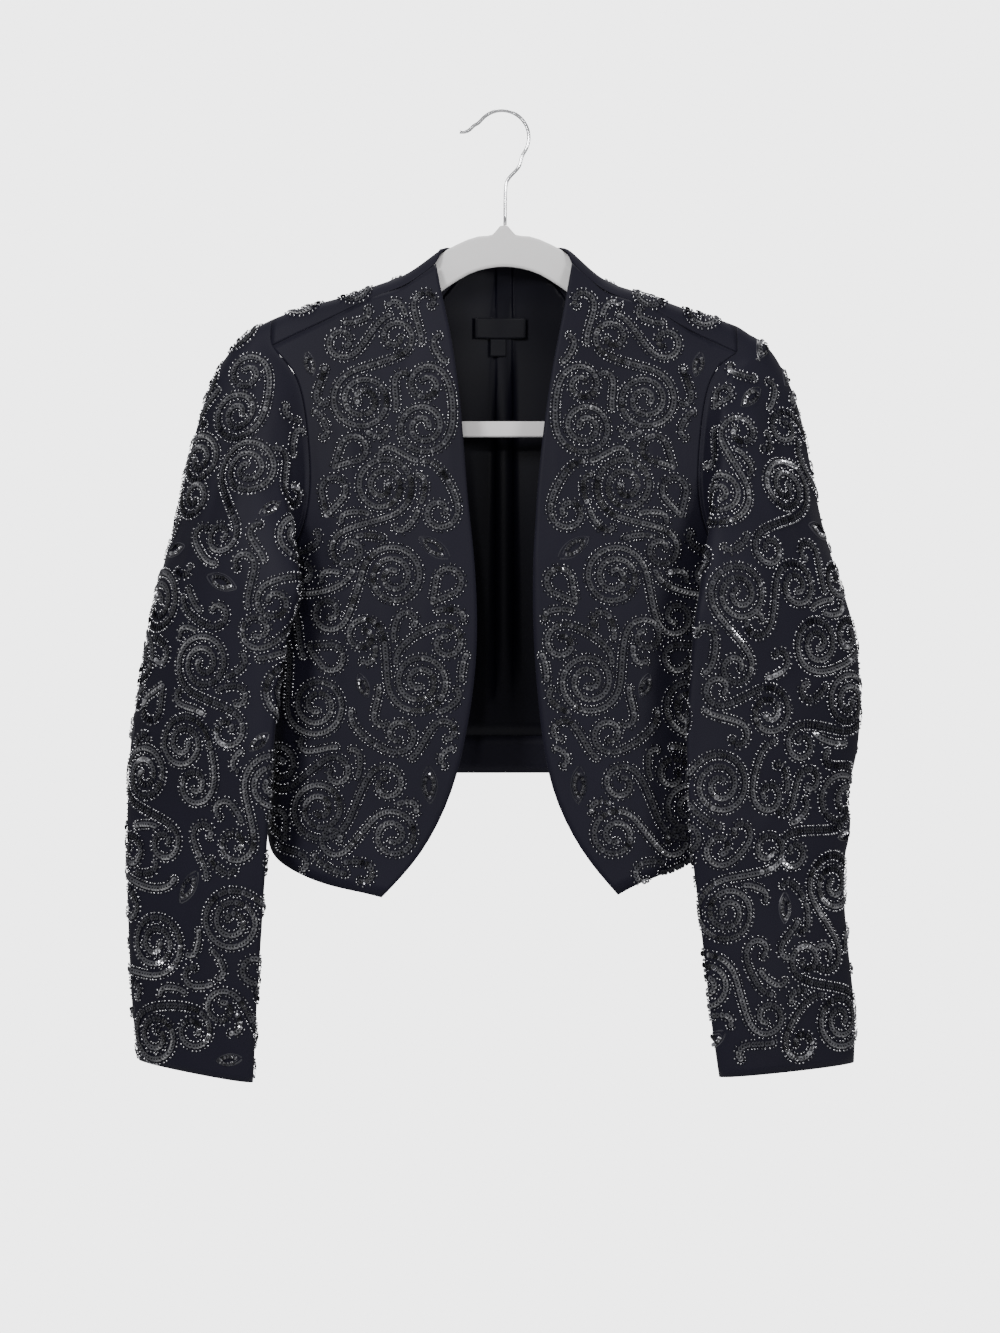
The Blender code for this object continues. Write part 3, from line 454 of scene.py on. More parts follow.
def wrinkle_height(out, z, rows):
    """Summed height of the wrinkles at each point, each running a little past both of its ends."""
    height = np.zeros(len(out))
    for row in rows:
        along = (row["top"] - z) / (row["top"] - row["low"])
        fade = ease((along + OVERRUN) / FADE) * ease((1 + OVERRUN - along) / FADE)
        middle = row["out"] + row["lean"] * (row["top"] - z)
        height += row["height"] * fade * np.exp(-(((out - middle) / row["width"]) ** 2))
    return height


print("wrinkles:", len(BODY_WRINKLES), "on the body and", len(SLEEVE_WRINKLES), "on a sleeve")

# %% [markdown]
# ## Moving the skin
#
# A height alone doesn't say which way to move. The body's wrinkles stand out towards the front or the
# back. A sleeve is a tube, so its wrinkles stand out from its middle line, which is found by slicing the
# sleeve at many heights. A faint ripple of noise goes over everything, as crepe is never quite flat.

# %% Move the points
SEAM_FADE_MM = 14.0
CREPE_RIPPLE_MM = 0.35
RIPPLE_SIZE_MM = 26.0
SLICE_REACH_MM = 8.0
SLICE_STEP_MM = 12.0
TOWARDS_CAMERA = (0.0, -1.0, 0.0)
FROM_CAMERA = (0.0, 1.0, 0.0)


def distance_to_rim(mesh, points):
    """How far each point lies from the cut edges of its piece, in millimetres."""
    shell = bmesh.new()
    shell.from_mesh(mesh)
    rim = set()
    for edge in shell.edges:
        if len(edge.link_faces) == 2 and edge.calc_face_angle() > RIM_ANGLE:
            rim.update(corner.index for corner in edge.verts)
    shell.free()
    tree = KDTree(len(rim))
    for i in rim:
        tree.insert(points[i], i)
    tree.balance()
    return np.array([tree.find(p)[2] for p in points])


def wrinkle(mesh, rows, away, seed):
    """Move a skin's points in or out along their own direction away from the middle of the piece."""
    points = points_of(mesh)
    height = wrinkle_height(np.abs(points[:, 0]), points[:, 2], rows)
    place = points / RIPPLE_SIZE_MM + seed
    height += CREPE_RIPPLE_MM * np.array([noise.noise(p) for p in place])
    height *= ease(distance_to_rim(mesh, points) / SEAM_FADE_MM)
    set_points(mesh, points + away(points) * height[:, None])
    return float(np.abs(height).max())


def unit_rows(vectors):
    """Rows of vectors made one long, with a floor that keeps a zero from dividing."""
    return vectors / np.maximum(np.linalg.norm(vectors, axis=1, keepdims=True), 1e-6)


def section_middle(points, z):
    """Middle of the box round a sleeve's points near one height."""
    near = points[np.abs(points[:, 2] - z) < SLICE_REACH_MM]
    return (near.min(axis=0) + near.max(axis=0)) / 2


def away_from_sleeve(points):
    """Level directions away from the middle line of a sleeve."""
    bottom = points[:, 2].min() + SLICE_REACH_MM
    top = points[:, 2].max() - SLICE_REACH_MM
    levels = np.arange(bottom, top, SLICE_STEP_MM)
    middles = np.array([section_middle(points, z) for z in levels])
    middle = np.column_stack([np.interp(points[:, 2], levels, middles[:, k]) for k in (0, 1)])
    return np.column_stack([unit_rows(points[:, :2] - middle), np.zeros(len(points))])


def forward(points):
    """Straight towards the camera."""
    return np.tile(TOWARDS_CAMERA, (len(points), 1))


def backward(points):
    """Straight away from the camera."""
    return np.tile(FROM_CAMERA, (len(points), 1))


print("a wrinkle dies away over", SEAM_FADE_MM, "mm at a seam")

# %% [markdown]
# ## The cloth pieces
#
# Two fronts, a back and two sleeves, all of one crepe. The five skins are kept in a dictionary, because
# the embroidery is sewn onto them later.

# %% Cloth pieces
CLOTH = table(
    "node levels seed",
    ("front_left", 2, 1.0), ("front_right", 2, 2.0), ("back", 2, 3.0),
    ("sleeve_left", 2, 4.0), ("sleeve_right", 2, 5.0),
)
AWAY = {
    "front_left": forward, "front_right": forward, "back": backward,
    "sleeve_left": away_from_sleeve, "sleeve_right": away_from_sleeve,
}
skins = {}
for row in CLOTH:
    node = row["node"]
    cloth_mesh = skin_mesh(node, row["levels"])
    rows = SLEEVE_WRINKLES if node.startswith("sleeve") else BODY_WRINKLES
    highest = wrinkle(cloth_mesh, rows, AWAY[node], row["seed"])
    cloth_mesh.shade_smooth()
    cloth_mesh.set_sharp_from_angle(angle=RIM_ANGLE)
    skins[node] = show(f"{node}_cloth", cloth_mesh, CREPE, "shell_cloth", node)
    print(node, len(cloth_mesh.polygons), "faces, wrinkles up to", round(highest, 1), "mm")

# %% [markdown]
# ## Inside the back
#
# Through the open front you see the satin lining with its pleat down the middle, the crepe facing along
# the hem, and two bare woven labels at the neck. They need no wrinkles, only their finer skin.

# %% Lining, facing and labels
INSIDE = table(
    "node finish slot levels",
    ("lining_back", SATIN, "lining_satin", 1), ("hem_facing_back", CREPE, "shell_cloth", 1),
    ("neck_label", LABEL, "label_weave", 2), ("size_tab", LABEL, "label_weave", 2),
)
for row in INSIDE:
    inside_mesh = skin_mesh(row["node"], row["levels"])
    inside_mesh.shade_smooth()
    inside_mesh.set_sharp_from_angle(angle=RIM_ANGLE)
    skins[row["node"]] = show(f"{row['node']}_cloth", inside_mesh, row["finish"], row["slot"], row["node"])
    print(row["node"], len(inside_mesh.polygons), "faces")

# %% [markdown]
# ## The hanger
#
# The hanger is a thin moulding covered in flock, so its edges look soft. Its skin is bevelled before it
# is smoothed. The hook only needs a rounder wire.

# %% Hanger
FLAT_ANGLE = radians(0.5)
HARD_ANGLE = radians(25)
SOFT_EDGE_MM = 0.6
SOFT_EDGE_SEGMENTS = 3


def soft_edged(node, width_mm, segments):
    """A solid's mesh with all its hard edges rounded over."""
    shell = welded(node)
    bmesh.ops.dissolve_limit(shell, angle_limit=FLAT_ANGLE, verts=shell.verts, edges=shell.edges)
    mesh = bpy.data.meshes.new(node)
    shell.to_mesh(mesh)
    shell.free()
    holder = bpy.data.objects.new(node, mesh)
    bpy.context.scene.collection.objects.link(holder)
    bevel = holder.modifiers.new("Soft edge", "BEVEL")
    bevel.width = width_mm * MM
    bevel.segments = segments
    bevel.limit_method = "ANGLE"
    bevel.angle_limit = HARD_ANGLE
    bevel.harden_normals = False
    graph = bpy.context.evaluated_depsgraph_get()
    fine = bpy.data.meshes.new_from_object(holder.evaluated_get(graph))
    bpy.data.objects.remove(holder)
    fine.shade_smooth()
    return fine


for node in ("hanger_arms", "hanger_bar"):
    flocked = soft_edged(node, SOFT_EDGE_MM, SOFT_EDGE_SEGMENTS)
    show(f"{node}_flock", flocked, FLOCK, "hanger_flock", node)
hook_mesh = skin_mesh("hanger_hook", 2)
hook_mesh.shade_smooth()
show("hanger_hook_wire", hook_mesh, WIRE, "hook_chrome", "hanger_hook")
print("hook faces:", len(hook_mesh.polygons))

# %% [markdown]
# ## The outer side
#
# Embroidery is sewn to the outside of the cloth only. A skin is a closed wall, so its faces form an
# outer patch, an inner patch and narrow strips round the rim. A flood fill that stops at sharp edges
# finds the patches, and the outer one is the one that looks away from the wearer.

# %% Find the outer sides


def patches_of(mesh):
    """The largest two patches of faces that no sharp edge divides, as lists of face numbers."""
    shell = bmesh.new()
    shell.from_mesh(mesh)
    shell.faces.ensure_lookup_table()
    unseen = set(range(len(shell.faces)))
    patches = []
    while unseen:
        stack, patch = [unseen.pop()], []
        while stack:
            face = shell.faces[stack.pop()]
            patch.append(face.index)
            for edge in face.edges:
                if len(edge.link_faces) == 2 and edge.calc_face_angle() < RIM_ANGLE:
                    for other in edge.link_faces:
                        if other.index in unseen:
                            unseen.discard(other.index)
                            stack.append(other.index)
        patches.append(patch)
    shell.free()
    return sorted(patches, key=len)[-2:]


class OuterSide:
    """The outer faces of one cloth piece, in millimetres, with its rim and its area."""

    def __init__(self, name):
        mesh = skins[name].data
        points = points_of(mesh)
        middle = points.mean(axis=0) if name.startswith("sleeve") else np.array((0, 0, 0))
        best = None
        for patch in patches_of(mesh):
            corners = [tuple(mesh.polygons[i].vertices) for i in patch]
            centre = np.array([points[list(c)].mean(axis=0) for c in corners])
            normal = np.array([mesh.polygons[i].normal for i in patch])
            area = np.array([mesh.polygons[i].area for i in patch]) / MM**2
            outward = float((((centre - middle)[:, :2] * normal[:, :2]).sum(axis=1) * area).sum())
            if best is None or outward > best[0]:
                best = (outward, corners, centre, area)
        _, corners, self.centres, areas = best
        self.area = float(areas.sum())
        self.tree = BVHTree.FromPolygons([Vector(p) for p in points], corners)
        used = {}
        for corner in corners:
            for i, j in zip(corner, corner[1:] + corner[:1]):
                used[(min(i, j), max(i, j))] = used.get((min(i, j), max(i, j)), 0) + 1
        rim = sorted({i for edge, count in used.items() if count == 1 for i in edge})
        self.rim = KDTree(len(rim))
        for i in rim:
            self.rim.insert(points[i], i)
        self.rim.balance()
        self.from_rim = np.array([self.rim.find(c)[2] for c in self.centres])
        self.tall = float(np.ptp(self.centres[:, 2]))


outer = {row["node"]: OuterSide(row["node"]) for row in CLOTH}
for name, side in outer.items():
    print(name, "outer side:", len(side.centres), "faces,", round(side.area / 100), "square cm")

# %% [markdown]
# ## Walking over the cloth
#
# Scrollwork is made of few shapes: a spiral that runs into a tail, and a tail that ends in a smaller
# spiral on the same side (a C) or on the other side (an S). Curls branch off beside them, and drops and
# leaves lie between. A shape is a list of bends. It is drawn straight onto the curved cloth, as you
# would with a piece of chalk: take a small step ahead, drop back onto the surface, turn by the next
# bend, and go on.

# %% Shapes as lists of bends
BAND_PITCH_MM = 8.6
STEP_MM = 1.2
SPIRAL_GROWTH = 2 * BAND_PITCH_MM / (2 * pi)
SPIRAL_INNER_MM = 4.6
BARE_START_MM = 15
BARE_END_MM = 13
TAIL_EASE = 0.85
LEAF_SPREAD = radians(84)
LEAF_SIDE = 1.12
DROP_SPREAD = radians(58)


def spiral_bends(radius):
    """The curvature at each step of a spiral whose turns lie one band apart, from its eye outwards."""
    length = max((radius**2 - SPIRAL_INNER_MM**2) / SPIRAL_GROWTH, STEP_MM)
    return 1 / np.sqrt(SPIRAL_INNER_MM**2 + SPIRAL_GROWTH * np.arange(0, length, STEP_MM))


def scroll(first, tail, second, side):
    """A spiral, a tail, and a second spiral on the same side (1) or the other side (-1).
    An end without a spiral is a gentle arc."""
    opening = spiral_bends(first) if first else np.array([1 / BARE_START_MM])
    closing = side * spiral_bends(second)[::-1] if second else np.array([side / BARE_END_MM])
    steps = max(int(tail / STEP_MM), 2)
    straighter = 1 - TAIL_EASE * np.sin(np.linspace(0, pi, steps))
    return np.concatenate([opening, np.linspace(opening[-1], closing[0], steps) * straighter, closing])


def leaf_bends(long):
    """The bends round a leaf's outline: one curved side, a sharp tip, and the other side."""
    count = int(long * LEAF_SIDE / STEP_MM)
    curve = np.full(count, LEAF_SPREAD / (count * STEP_MM))
    tip = np.array([(pi - LEAF_SPREAD) / STEP_MM])
    return np.concatenate([curve, tip, curve])


def drop(long):
    """A closed drop: two straight sides that part at its point, joined by a round end."""
    radius = long / (1 + 1 / sin(DROP_SPREAD / 2))
    straight = np.zeros(round(radius / tan(DROP_SPREAD / 2) / STEP_MM))
    count = round((pi + DROP_SPREAD) * radius / STEP_MM)
    rounded = np.full(count, (pi + DROP_SPREAD) / (count * STEP_MM))
    return np.concatenate([straight, rounded, straight])


# Radii and lengths are in millimetres. The first number of a leaf or a drop is its length. Room is how
# far its start has to lie from everything else, and tries is how often the shape is tried.
SHAPES = table(
    "kind first tail second side room tries",
    ("scroll", 24, 52, 14, -1, 28, 60), ("scroll", 21, 60, 15, 1, 25, 60), ("leaf", 28, 0, 0, 1, 17, 14),
    ("curl", 15, 70, 0, 1, 0, 200), ("scroll", 19, 44, 12, -1, 23, 90), ("curl", 13, 56, 0, 1, 0, 400),
    ("scroll", 16, 56, 12, -1, 20, 120), ("curl", 13, 44, 0, -1, 0, 400), ("leaf", 24, 0, 0, 1, 15, 24),
    ("scroll", 15, 46, 12, 1, 19, 140), ("drop", 30, 0, 0, 1, 14, 50), ("curl", 9.5, 46, 0, 1, 0, 600),
    ("scroll", 13, 34, 9, 1, 17, 160), ("curl", 9.5, 34, 0, -1, 0, 600), ("leaf", 20, 0, 0, 1, 13, 30),
    ("scroll", 11, 30, 8, -1, 15, 200), ("drop", 24, 0, 0, 1, 12, 60), ("curl", 7.5, 36, 0, 1, 0, 700),
    ("curl", 9, 16, 0, 1, 0, 500), ("curl", 7, 24, 0, -1, 0, 700), ("leaf", 17, 0, 0, 1, 11, 40),
    ("curl", 6, 18, 0, 1, 0, 900), ("curl", 7, 8, 0, 1, 0, 700), ("drop", 19, 0, 0, 1, 10, 60),
    ("curl", 0, 44, 0, 1, 0, 500), ("curl", 0, 28, 0, 1, 0, 800), ("leaf", 13, 0, 0, 1, 9, 60),
    ("curl", 0, 18, 0, 1, 0, 260),
)


def bends_of(shape):
    """The bends of one row of the table of shapes."""
    if shape["kind"] == "drop":
        return drop(shape["first"])
    if shape["kind"] == "leaf":
        return leaf_bends(shape["first"])
    bends = scroll(shape["first"], shape["tail"], shape["second"], shape["side"])
    return bends[::-1] if shape["kind"] == "curl" else bends


def stroll(side, place, way, bends, step, stop=None):
    """Walk over an outer side. Gives the places, the ways ahead and the directions out of the cloth,
    or nothing if stop() turns the walk down."""
    steps = []
    for bend in bends:
        place, facing, _, _ = side.tree.find_nearest(place + way * step)
        way = (way - facing * way.dot(facing)).normalized()
        way = way * cos(bend * step) + facing.cross(way) * sin(bend * step)
        if stop is not None and stop(place):
            return None
        steps.append((place, way, facing))
    return steps


print("the longest scroll is", round(max(len(bends_of(s)) for s in SHAPES) * STEP_MM), "mm")

# %% [markdown]
# ## Filling the cloth
#
# The largest shapes go on first, at random places that have room for them, and the small ones fill what
# is left. A walk is given up as soon as it comes too near another band, itself or a seam. To know this
# quickly, the cloth is divided into cells, and a place is compared only with those in the cells round
# it. A trial walk is coarse, too: it takes only every third step.

# %% Keep places apart
APART_MM = 7.3
COARSE = 3
SELF_STEPS = 5
SELF_APART_MM = 5.9


class Crowd:
    """Remembers places in cells as wide as the distance that they must keep."""

    def __init__(self, apart):
        self.apart = apart
        self.cells = {}

    def crowded(self, place):
        """Whether a remembered place lies too near this one."""
        i, j, k = (int(v // self.apart) for v in place)
        for a in (i - 1, i, i + 1):
            for b in (j - 1, j, j + 1):
                for c in (k - 1, k, k + 1):
                    for other in self.cells.get((a, b, c), ()):
                        if (other - place).length_squared < self.apart**2:
                            return True
        return False

    def add(self, place):
        """Remember a place."""
        self.cells.setdefault(tuple(int(v // self.apart) for v in place), []).append(place)


def mirrored(vector):
    """The same place or direction on the other side of the jacket."""
    return Vector((-vector[0], vector[1], vector[2]))


def crosses_itself(walked):
    """Whether a coarse walk comes back too near a place that it left a while ago."""
    places = np.array([step[0] for step in walked])
    apart = np.sqrt(((places[:, None] - places[None]) ** 2).sum(axis=2))
    gap = np.abs(np.subtract.outer(np.arange(len(places)), np.arange(len(places))))
    return bool((apart[gap > SELF_STEPS] < SELF_APART_MM).any())


print("bands keep", APART_MM, "mm apart, from middle to middle")

# %% [markdown]
# ## The layout
#
# A curl starts right beside a band that is already there and bends away from it, as a branch does. Any
# other shape starts in the open. This is how a layout is roughed out with paper cut-outs, and it follows
# no one's drawing. What is found for the left front is walked again in mirror image on the right one,
# and the back is mirrored on itself. The sleeves hang too differently for that, so each is filled for
# itself. The fronts are seen first, so they get the most tries. A start may lie a little nearer to an
# edge than its room says (the slack), because its walk is checked at every step anyway.

# %% Lay out the shapes
PARTNER = {"front_left": "front_right", "back": "back", "sleeve_left": None, "sleeve_right": None}
MARGIN_MM = {"front_left": 7.2, "back": 7.2, "sleeve_left": 6.2, "sleeve_right": 6.2}
EFFORT = {"front_left": 5.0, "back": 1.6, "sleeve_left": 1.5, "sleeve_right": 1.5}
MIDDLE_GAP_MM = 4.0
BRANCH_GAP = 1.03
MARGIN_SLACK_MM = 7
MIDDLE_SLACK_MM = 6
BRANCH_EVERY = 3
MARK_EVERY = 2
FIRST_SEED = 21


def start_beside(side, laid, dice):
    """A start one band away from a band that is there, its way, and the hand that bends away from it."""
    place, way, facing = laid[dice.integers(len(laid))]
    hand, sense = int(dice.choice([-1, 1])), int(dice.choice([-1, 1]))
    start = side.tree.find_nearest(place + facing.cross(way) * hand * APART_MM * BRANCH_GAP)[0]
    return start, way * sense, hand * sense


def start_open(side, places, dice):
    """A start at one of the given places, in any direction."""
    start = Vector(side.centres[dice.choice(places)])
    facing = side.tree.find_nearest(start)[1]
    return start, Vector(dice.normal(size=3)).cross(facing).normalized(), int(dice.choice([-1, 1]))


def lay_out(name, seed):
    """Fill one outer side, and its partner in mirror image. Gives the shapes of each."""
    dice = np.random.default_rng(seed)
    side, partner = outer[name], PARTNER[name]
    margin = MARGIN_MM[name]
    taken = Crowd(APART_MM)
    room = side.from_rim - margin + MARGIN_SLACK_MM
    if name == "back":
        room = np.minimum(room, -side.centres[:, 0] - MIDDLE_GAP_MM + MIDDLE_SLACK_MM)
    shapes = {piece: [] for piece in {name, partner} - {None}}

    def stop(place):
        if side.rim.find(place)[2] < margin or (name == "back" and place.x > -MIDDLE_GAP_MM):
            return True
        return taken.crowded(place)

    laid = []
    for shape in SHAPES:
        bends = bends_of(shape)
        for _ in range(int(shape["tries"] * EFFORT[name])):
            open_places = np.flatnonzero(room > shape["room"])
            if not len(open_places):
                break
            if shape["kind"] == "curl" and laid:
                start, way, flip = start_beside(side, laid, dice)
            else:
                start, way, flip = start_open(side, open_places, dice)
            rough = stroll(side, start, way, flip * bends[::COARSE], STEP_MM * COARSE, stop)
            if rough is None or (shape["kind"] in ("scroll", "curl") and crosses_itself(rough)):
                continue
            walked = stroll(side, start, way, flip * bends, STEP_MM)
            laid += walked[::BRANCH_EVERY]
            shapes[name].append((shape, walked, flip))
            if partner is not None:
                other = stroll(outer[partner], mirrored(start), mirrored(way), -flip * bends, STEP_MM)
                shapes[partner].append((shape, other, -flip))
            marks = np.array([step[0] for step in walked[::MARK_EVERY]])
            for mark in marks:
                taken.add(Vector(mark))
            apart = np.sqrt(((side.centres[:, None] - marks[None]) ** 2).sum(axis=2)).min(axis=1)
            room = np.minimum(room, apart)
    return shapes


LAYOUT = {}
for seed, name in enumerate(PARTNER):
    LAYOUT.update(lay_out(name, FIRST_SEED + seed))
for name, shapes in LAYOUT.items():
    length = sum(len(walked) for _, walked, _ in shapes) * STEP_MM / 1000
    print(name, len(shapes), "shapes,", round(length, 1), "m")

# %% [markdown]
# ## Sequins and beads
#
# A sequin is a thin cup with a hole. They are sewn in a row, each half over the next like roof tiles, so
# each one leans, and a stitch comes out of each hole; its near-black, shineless colour is also painted
# shade in the hole. A seed bead is a short piece of glass tube.
# From a step away its hole doesn't show, so a small drum that tapers to a flat top will do. Thousands of
# them are far quicker as one joined mesh than as objects, so one small template is copied to every place
# at once.

# %% Templates
SEQUIN_RADIUS = 2.2
SEQUIN_SIDES = 7
SEQUIN_RIM_HEIGHT = 0.34
SEQUIN_HOLE_RADIUS = 0.5
SEQUIN_HOLE_HEIGHT = -0.1
BEAD_RADIUS = 0.95
BEAD_SIDES = 5
BEAD_FOOT_HEIGHT = 0.3
BEAD_TOP_HEIGHT = 1.5
BEAD_TAPER = 0.72
STITCH_AHEAD = 0.4
STITCH_LONG = 0.65
STITCH_WIDE = 0.6
STITCH_HEIGHT = 0.45


def ring(radius, height, count):
    """Points of a level ring."""
    turns = np.arange(count) / count * 2 * pi
    return np.column_stack([radius * np.cos(turns), radius * np.sin(turns), np.full(count, height)])


def ring_faces(first, second, count):
    """Triangles between two rings of the same count."""
    faces = []
    for i in range(count):
        j = (i + 1) % count
        faces += [(first + i, first + j, second + j), (first + i, second + j, second + i)]
    return faces


def sequin_template(radius=SEQUIN_RADIUS):
    """A shallow cup with a hole in the middle."""
    rim = ring(radius, SEQUIN_RIM_HEIGHT, SEQUIN_SIDES)
    hole = ring(SEQUIN_HOLE_RADIUS, SEQUIN_HOLE_HEIGHT, SEQUIN_SIDES)
    return np.concatenate([rim, hole]), ring_faces(0, SEQUIN_SIDES, SEQUIN_SIDES)


def bead_template():
    """A small drum with a flat top."""
    foot = ring(BEAD_RADIUS, BEAD_FOOT_HEIGHT, BEAD_SIDES)
    top = ring(BEAD_RADIUS * BEAD_TAPER, BEAD_TOP_HEIGHT, BEAD_SIDES)
    cover = [(BEAD_SIDES, BEAD_SIDES + i, BEAD_SIDES + i + 1) for i in range(1, BEAD_SIDES - 1)]
    return np.concatenate([foot, top]), ring_faces(0, BEAD_SIDES, BEAD_SIDES) + cover


def stitch_template():
    """The stitch in the hole of a sequin, black thread whose near-black, shineless colour is also painted
    shade in the hole: a flat diamond a little ahead of its middle.
    """
    near, far = STITCH_AHEAD - STITCH_LONG, STITCH_AHEAD + STITCH_LONG
    outline = [(near, 0), (STITCH_AHEAD, -STITCH_WIDE), (far, 0), (STITCH_AHEAD, STITCH_WIDE)]
    return np.array([(x, y, STITCH_HEIGHT) for x, y in outline]), [(0, 1, 2), (0, 2, 3)]


def copies(template, sewn, lean=0.0):
    """One mesh's points and faces: the template at every sewn place, turned to its directions."""
    points, faces = template
    places, along, facing = (np.array([row[k] for row in sewn]) for k in range(3))
    across = unit_rows(np.cross(facing, along))
    along = np.cross(across, facing)
    leaned = along * cos(lean) + facing * sin(lean)
    up = facing * cos(lean) - along * sin(lean)
    corner = (
        places[:, None] + points[None, :, :1] * leaned[:, None] + points[None, :, 1:2] * across[:, None]
        + points[None, :, 2:] * up[:, None]
    )
    shift = np.arange(len(places))[:, None, None] * len(points)
    return corner.reshape(-1, 3), (np.array(faces)[None] + shift).reshape(-1, 3)


def joined(name, template, sewn, finish, lean=0.0, smooth=True):
    """Show many copies as one mesh and give its number of triangles."""
    points, faces = copies(template, sewn, lean)
    mesh = bpy.data.meshes.new(name)
    mesh.from_pydata((points * MM).tolist(), [], faces.tolist())
    if smooth:
        mesh.shade_smooth()
    show(name, mesh, finish, "shell_cloth")
    return len(faces)


print("a sequin has", len(sequin_template()[1]), "triangles and a bead", len(bead_template()[1]))

# %% [markdown]
# ## Sewing
#
# A row of sequins follows the middle of a band. A row of beads runs down both sides and round the ends.
# Where two bands nearly touch they share one row of beads, because a bead that has no room is left out.
# Here and there, in patches, the sequins are glossy and lean more, as if the row had been pulled tight; their
# pale colour is a painted reflection.

# %% Sew the bands
SEQUIN_PITCH = 2.75
SEQUIN_APART_MM = 2.2
SEQUIN_LIFT = 0.95
SEQUIN_LEAN = radians(20)
BEAD_ROW_MM = 3.6
BEAD_PITCH = 2.85
BEAD_APART_MM = 2.0
BEAD_CLEAR_MM = 2.7
END_BEADS = 4
GLOSSY_LEAN = radians(36)
GLOSSY_SHARE = 0.16
GLOSSY_PATCH_MM = 24.0


def along_walk(steps, pitch, closed):
    """Places, ways and directions at an even pitch along a walk."""
    count = max(int(len(steps) * STEP_MM / pitch), 1)
    at = np.linspace(0, len(steps) - 1, count + 1)[: count if closed else count + 1]
    return [steps[int(round(i))] for i in at]


def beside(side, steps, shift):
    """A walk moved sideways over the cloth."""
    moved = []
    for place, way, facing in steps:
        here, out, _, _ = side.tree.find_nearest(place + facing.cross(way) * shift)
        moved.append((here, way, out))
    return moved


def round_end(side, step, forwards):
    """Places for the beads round one end of a band."""
    place, way, facing = step
    across = facing.cross(way)
    turned = []
    for turn in np.linspace(-pi / 2, pi / 2, END_BEADS + 2)[1:-1]:
        out = (way * cos(turn) * forwards + across * sin(turn)) * BEAD_ROW_MM
        here, normal, _, _ = side.tree.find_nearest(place + out)
        turned.append((here, way, normal))
    return turned


def sew(name):
    """Sew the sequins and beads of one piece."""
    side = outer[name]
    sequins, beads = [], []
    sequin_room = Crowd(SEQUIN_APART_MM)
    bead_room = Crowd(BEAD_APART_MM)
    clear_of_sequins = Crowd(BEAD_CLEAR_MM)
    bands = [(steps, shape["kind"] == "drop") for shape, steps, _ in LAYOUT[name] if shape["kind"] != "leaf"]
    for steps, closed in bands:
        for place, way, facing in along_walk(steps, SEQUIN_PITCH, closed):
            if not sequin_room.crowded(place):
                sequin_room.add(place)
                clear_of_sequins.add(place)
                sequins.append((place + facing * SEQUIN_LIFT, way, facing))
    for steps, closed in bands:
        rows = along_walk(beside(side, steps, BEAD_ROW_MM), BEAD_PITCH, closed)
        rows += along_walk(beside(side, steps, -BEAD_ROW_MM), BEAD_PITCH, closed)
        if not closed:
            rows += round_end(side, steps[0], -1) + round_end(side, steps[-1], 1)
        for place, way, facing in rows:
            if not bead_room.crowded(place) and not clear_of_sequins.crowded(place):
                bead_room.add(place)
                beads.append((place, way, facing))
    patch = np.array([noise.noise(row[0] / GLOSSY_PATCH_MM) for row in sequins])
    glossy = patch > np.quantile(patch, 1 - GLOSSY_SHARE)
    dull_rows = [row for row, shines in zip(sequins, glossy) if not shines]
    glossy_rows = [row for row, shines in zip(sequins, glossy) if shines]
    cup = sequin_template()
    total = joined(f"{name}_sequins", cup, dull_rows, SEQUIN, SEQUIN_LEAN)
    total += joined(f"{name}_glossy_sequins", cup, glossy_rows, GLOSSY_SEQUIN_WITH_PAINTED_REFLECTION, GLOSSY_LEAN, False)
    total += joined(f"{name}_stitches_with_painted_hole_shade", stitch_template(), dull_rows, STITCH_WITH_PAINTED_HOLE_SHADE, SEQUIN_LEAN)
    total += joined(f"{name}_beads", bead_template(), beads, BEAD_WITH_PAINTED_REFLECTION)
    print(name, len(sequins), "sequins,", len(beads), "beads,", total, "triangles")
    return total


print("triangles sewn:", sum([sew(name) for name in outer]))

# %% [markdown]
# ## Leaves
#
# Between the scrolls lie leaves. Each has two outlines in thread of the cloth's own colour, which shows
# by its shine and is painted paler than the cloth as a painted sheen, round a loop of small sequins, glossy
# and leaning steeply, whose pale colour is a painted reflection. The inner outline and the loop are the
# leaf's own shape again, smaller, and start a little way in from its first tip.

# %% Sew the leaves
CORD_HALF_WIDTH = 0.7
CORD_HEIGHT = 0.6
CORD_EDGE_HEIGHT = 0.05
CORD_LINES = ((-1, CORD_EDGE_HEIGHT), (0, CORD_HEIGHT), (1, CORD_EDGE_HEIGHT))
INNER_OUTLINE = {"inset": 0.11, "share": 0.78}
SEQUIN_LOOP = {"inset": 0.2, "share": 0.6}
LEAF_SEQUIN_RADIUS = 1.6
LEAF_SEQUIN_PITCH = 2.0
LEAF_SEQUIN_LIFT = 1.1
LEAF_SEQUIN_LEAN = radians(42)


def cord(rows, points, faces):
    """Add a low ridge along a walk to a mesh's points and faces."""
    first, count = len(points), len(rows)
    for sideways, height in CORD_LINES:
        for place, way, facing in rows:
            points.append(place + facing.cross(way) * CORD_HALF_WIDTH * sideways + facing * height)
    for line in (0, 1):
        for i in range(count - 1):
            low, high = first + line * count + i, first + (line + 1) * count + i
            faces += [(low, low + 1, high + 1), (low, high + 1, high)]


def smaller_leaf(name, long, steps, flip, inset, share):
    """A walk round the inside of a leaf that has been walked already."""
    place, way, facing = steps[0]
    turn = flip * LEAF_SPREAD / 2
    ahead = way * cos(turn) + facing.cross(way) * sin(turn)
    start = place + ahead * long * inset
    return stroll(outer[name], start, way, flip * leaf_bends(long * share), STEP_MM)


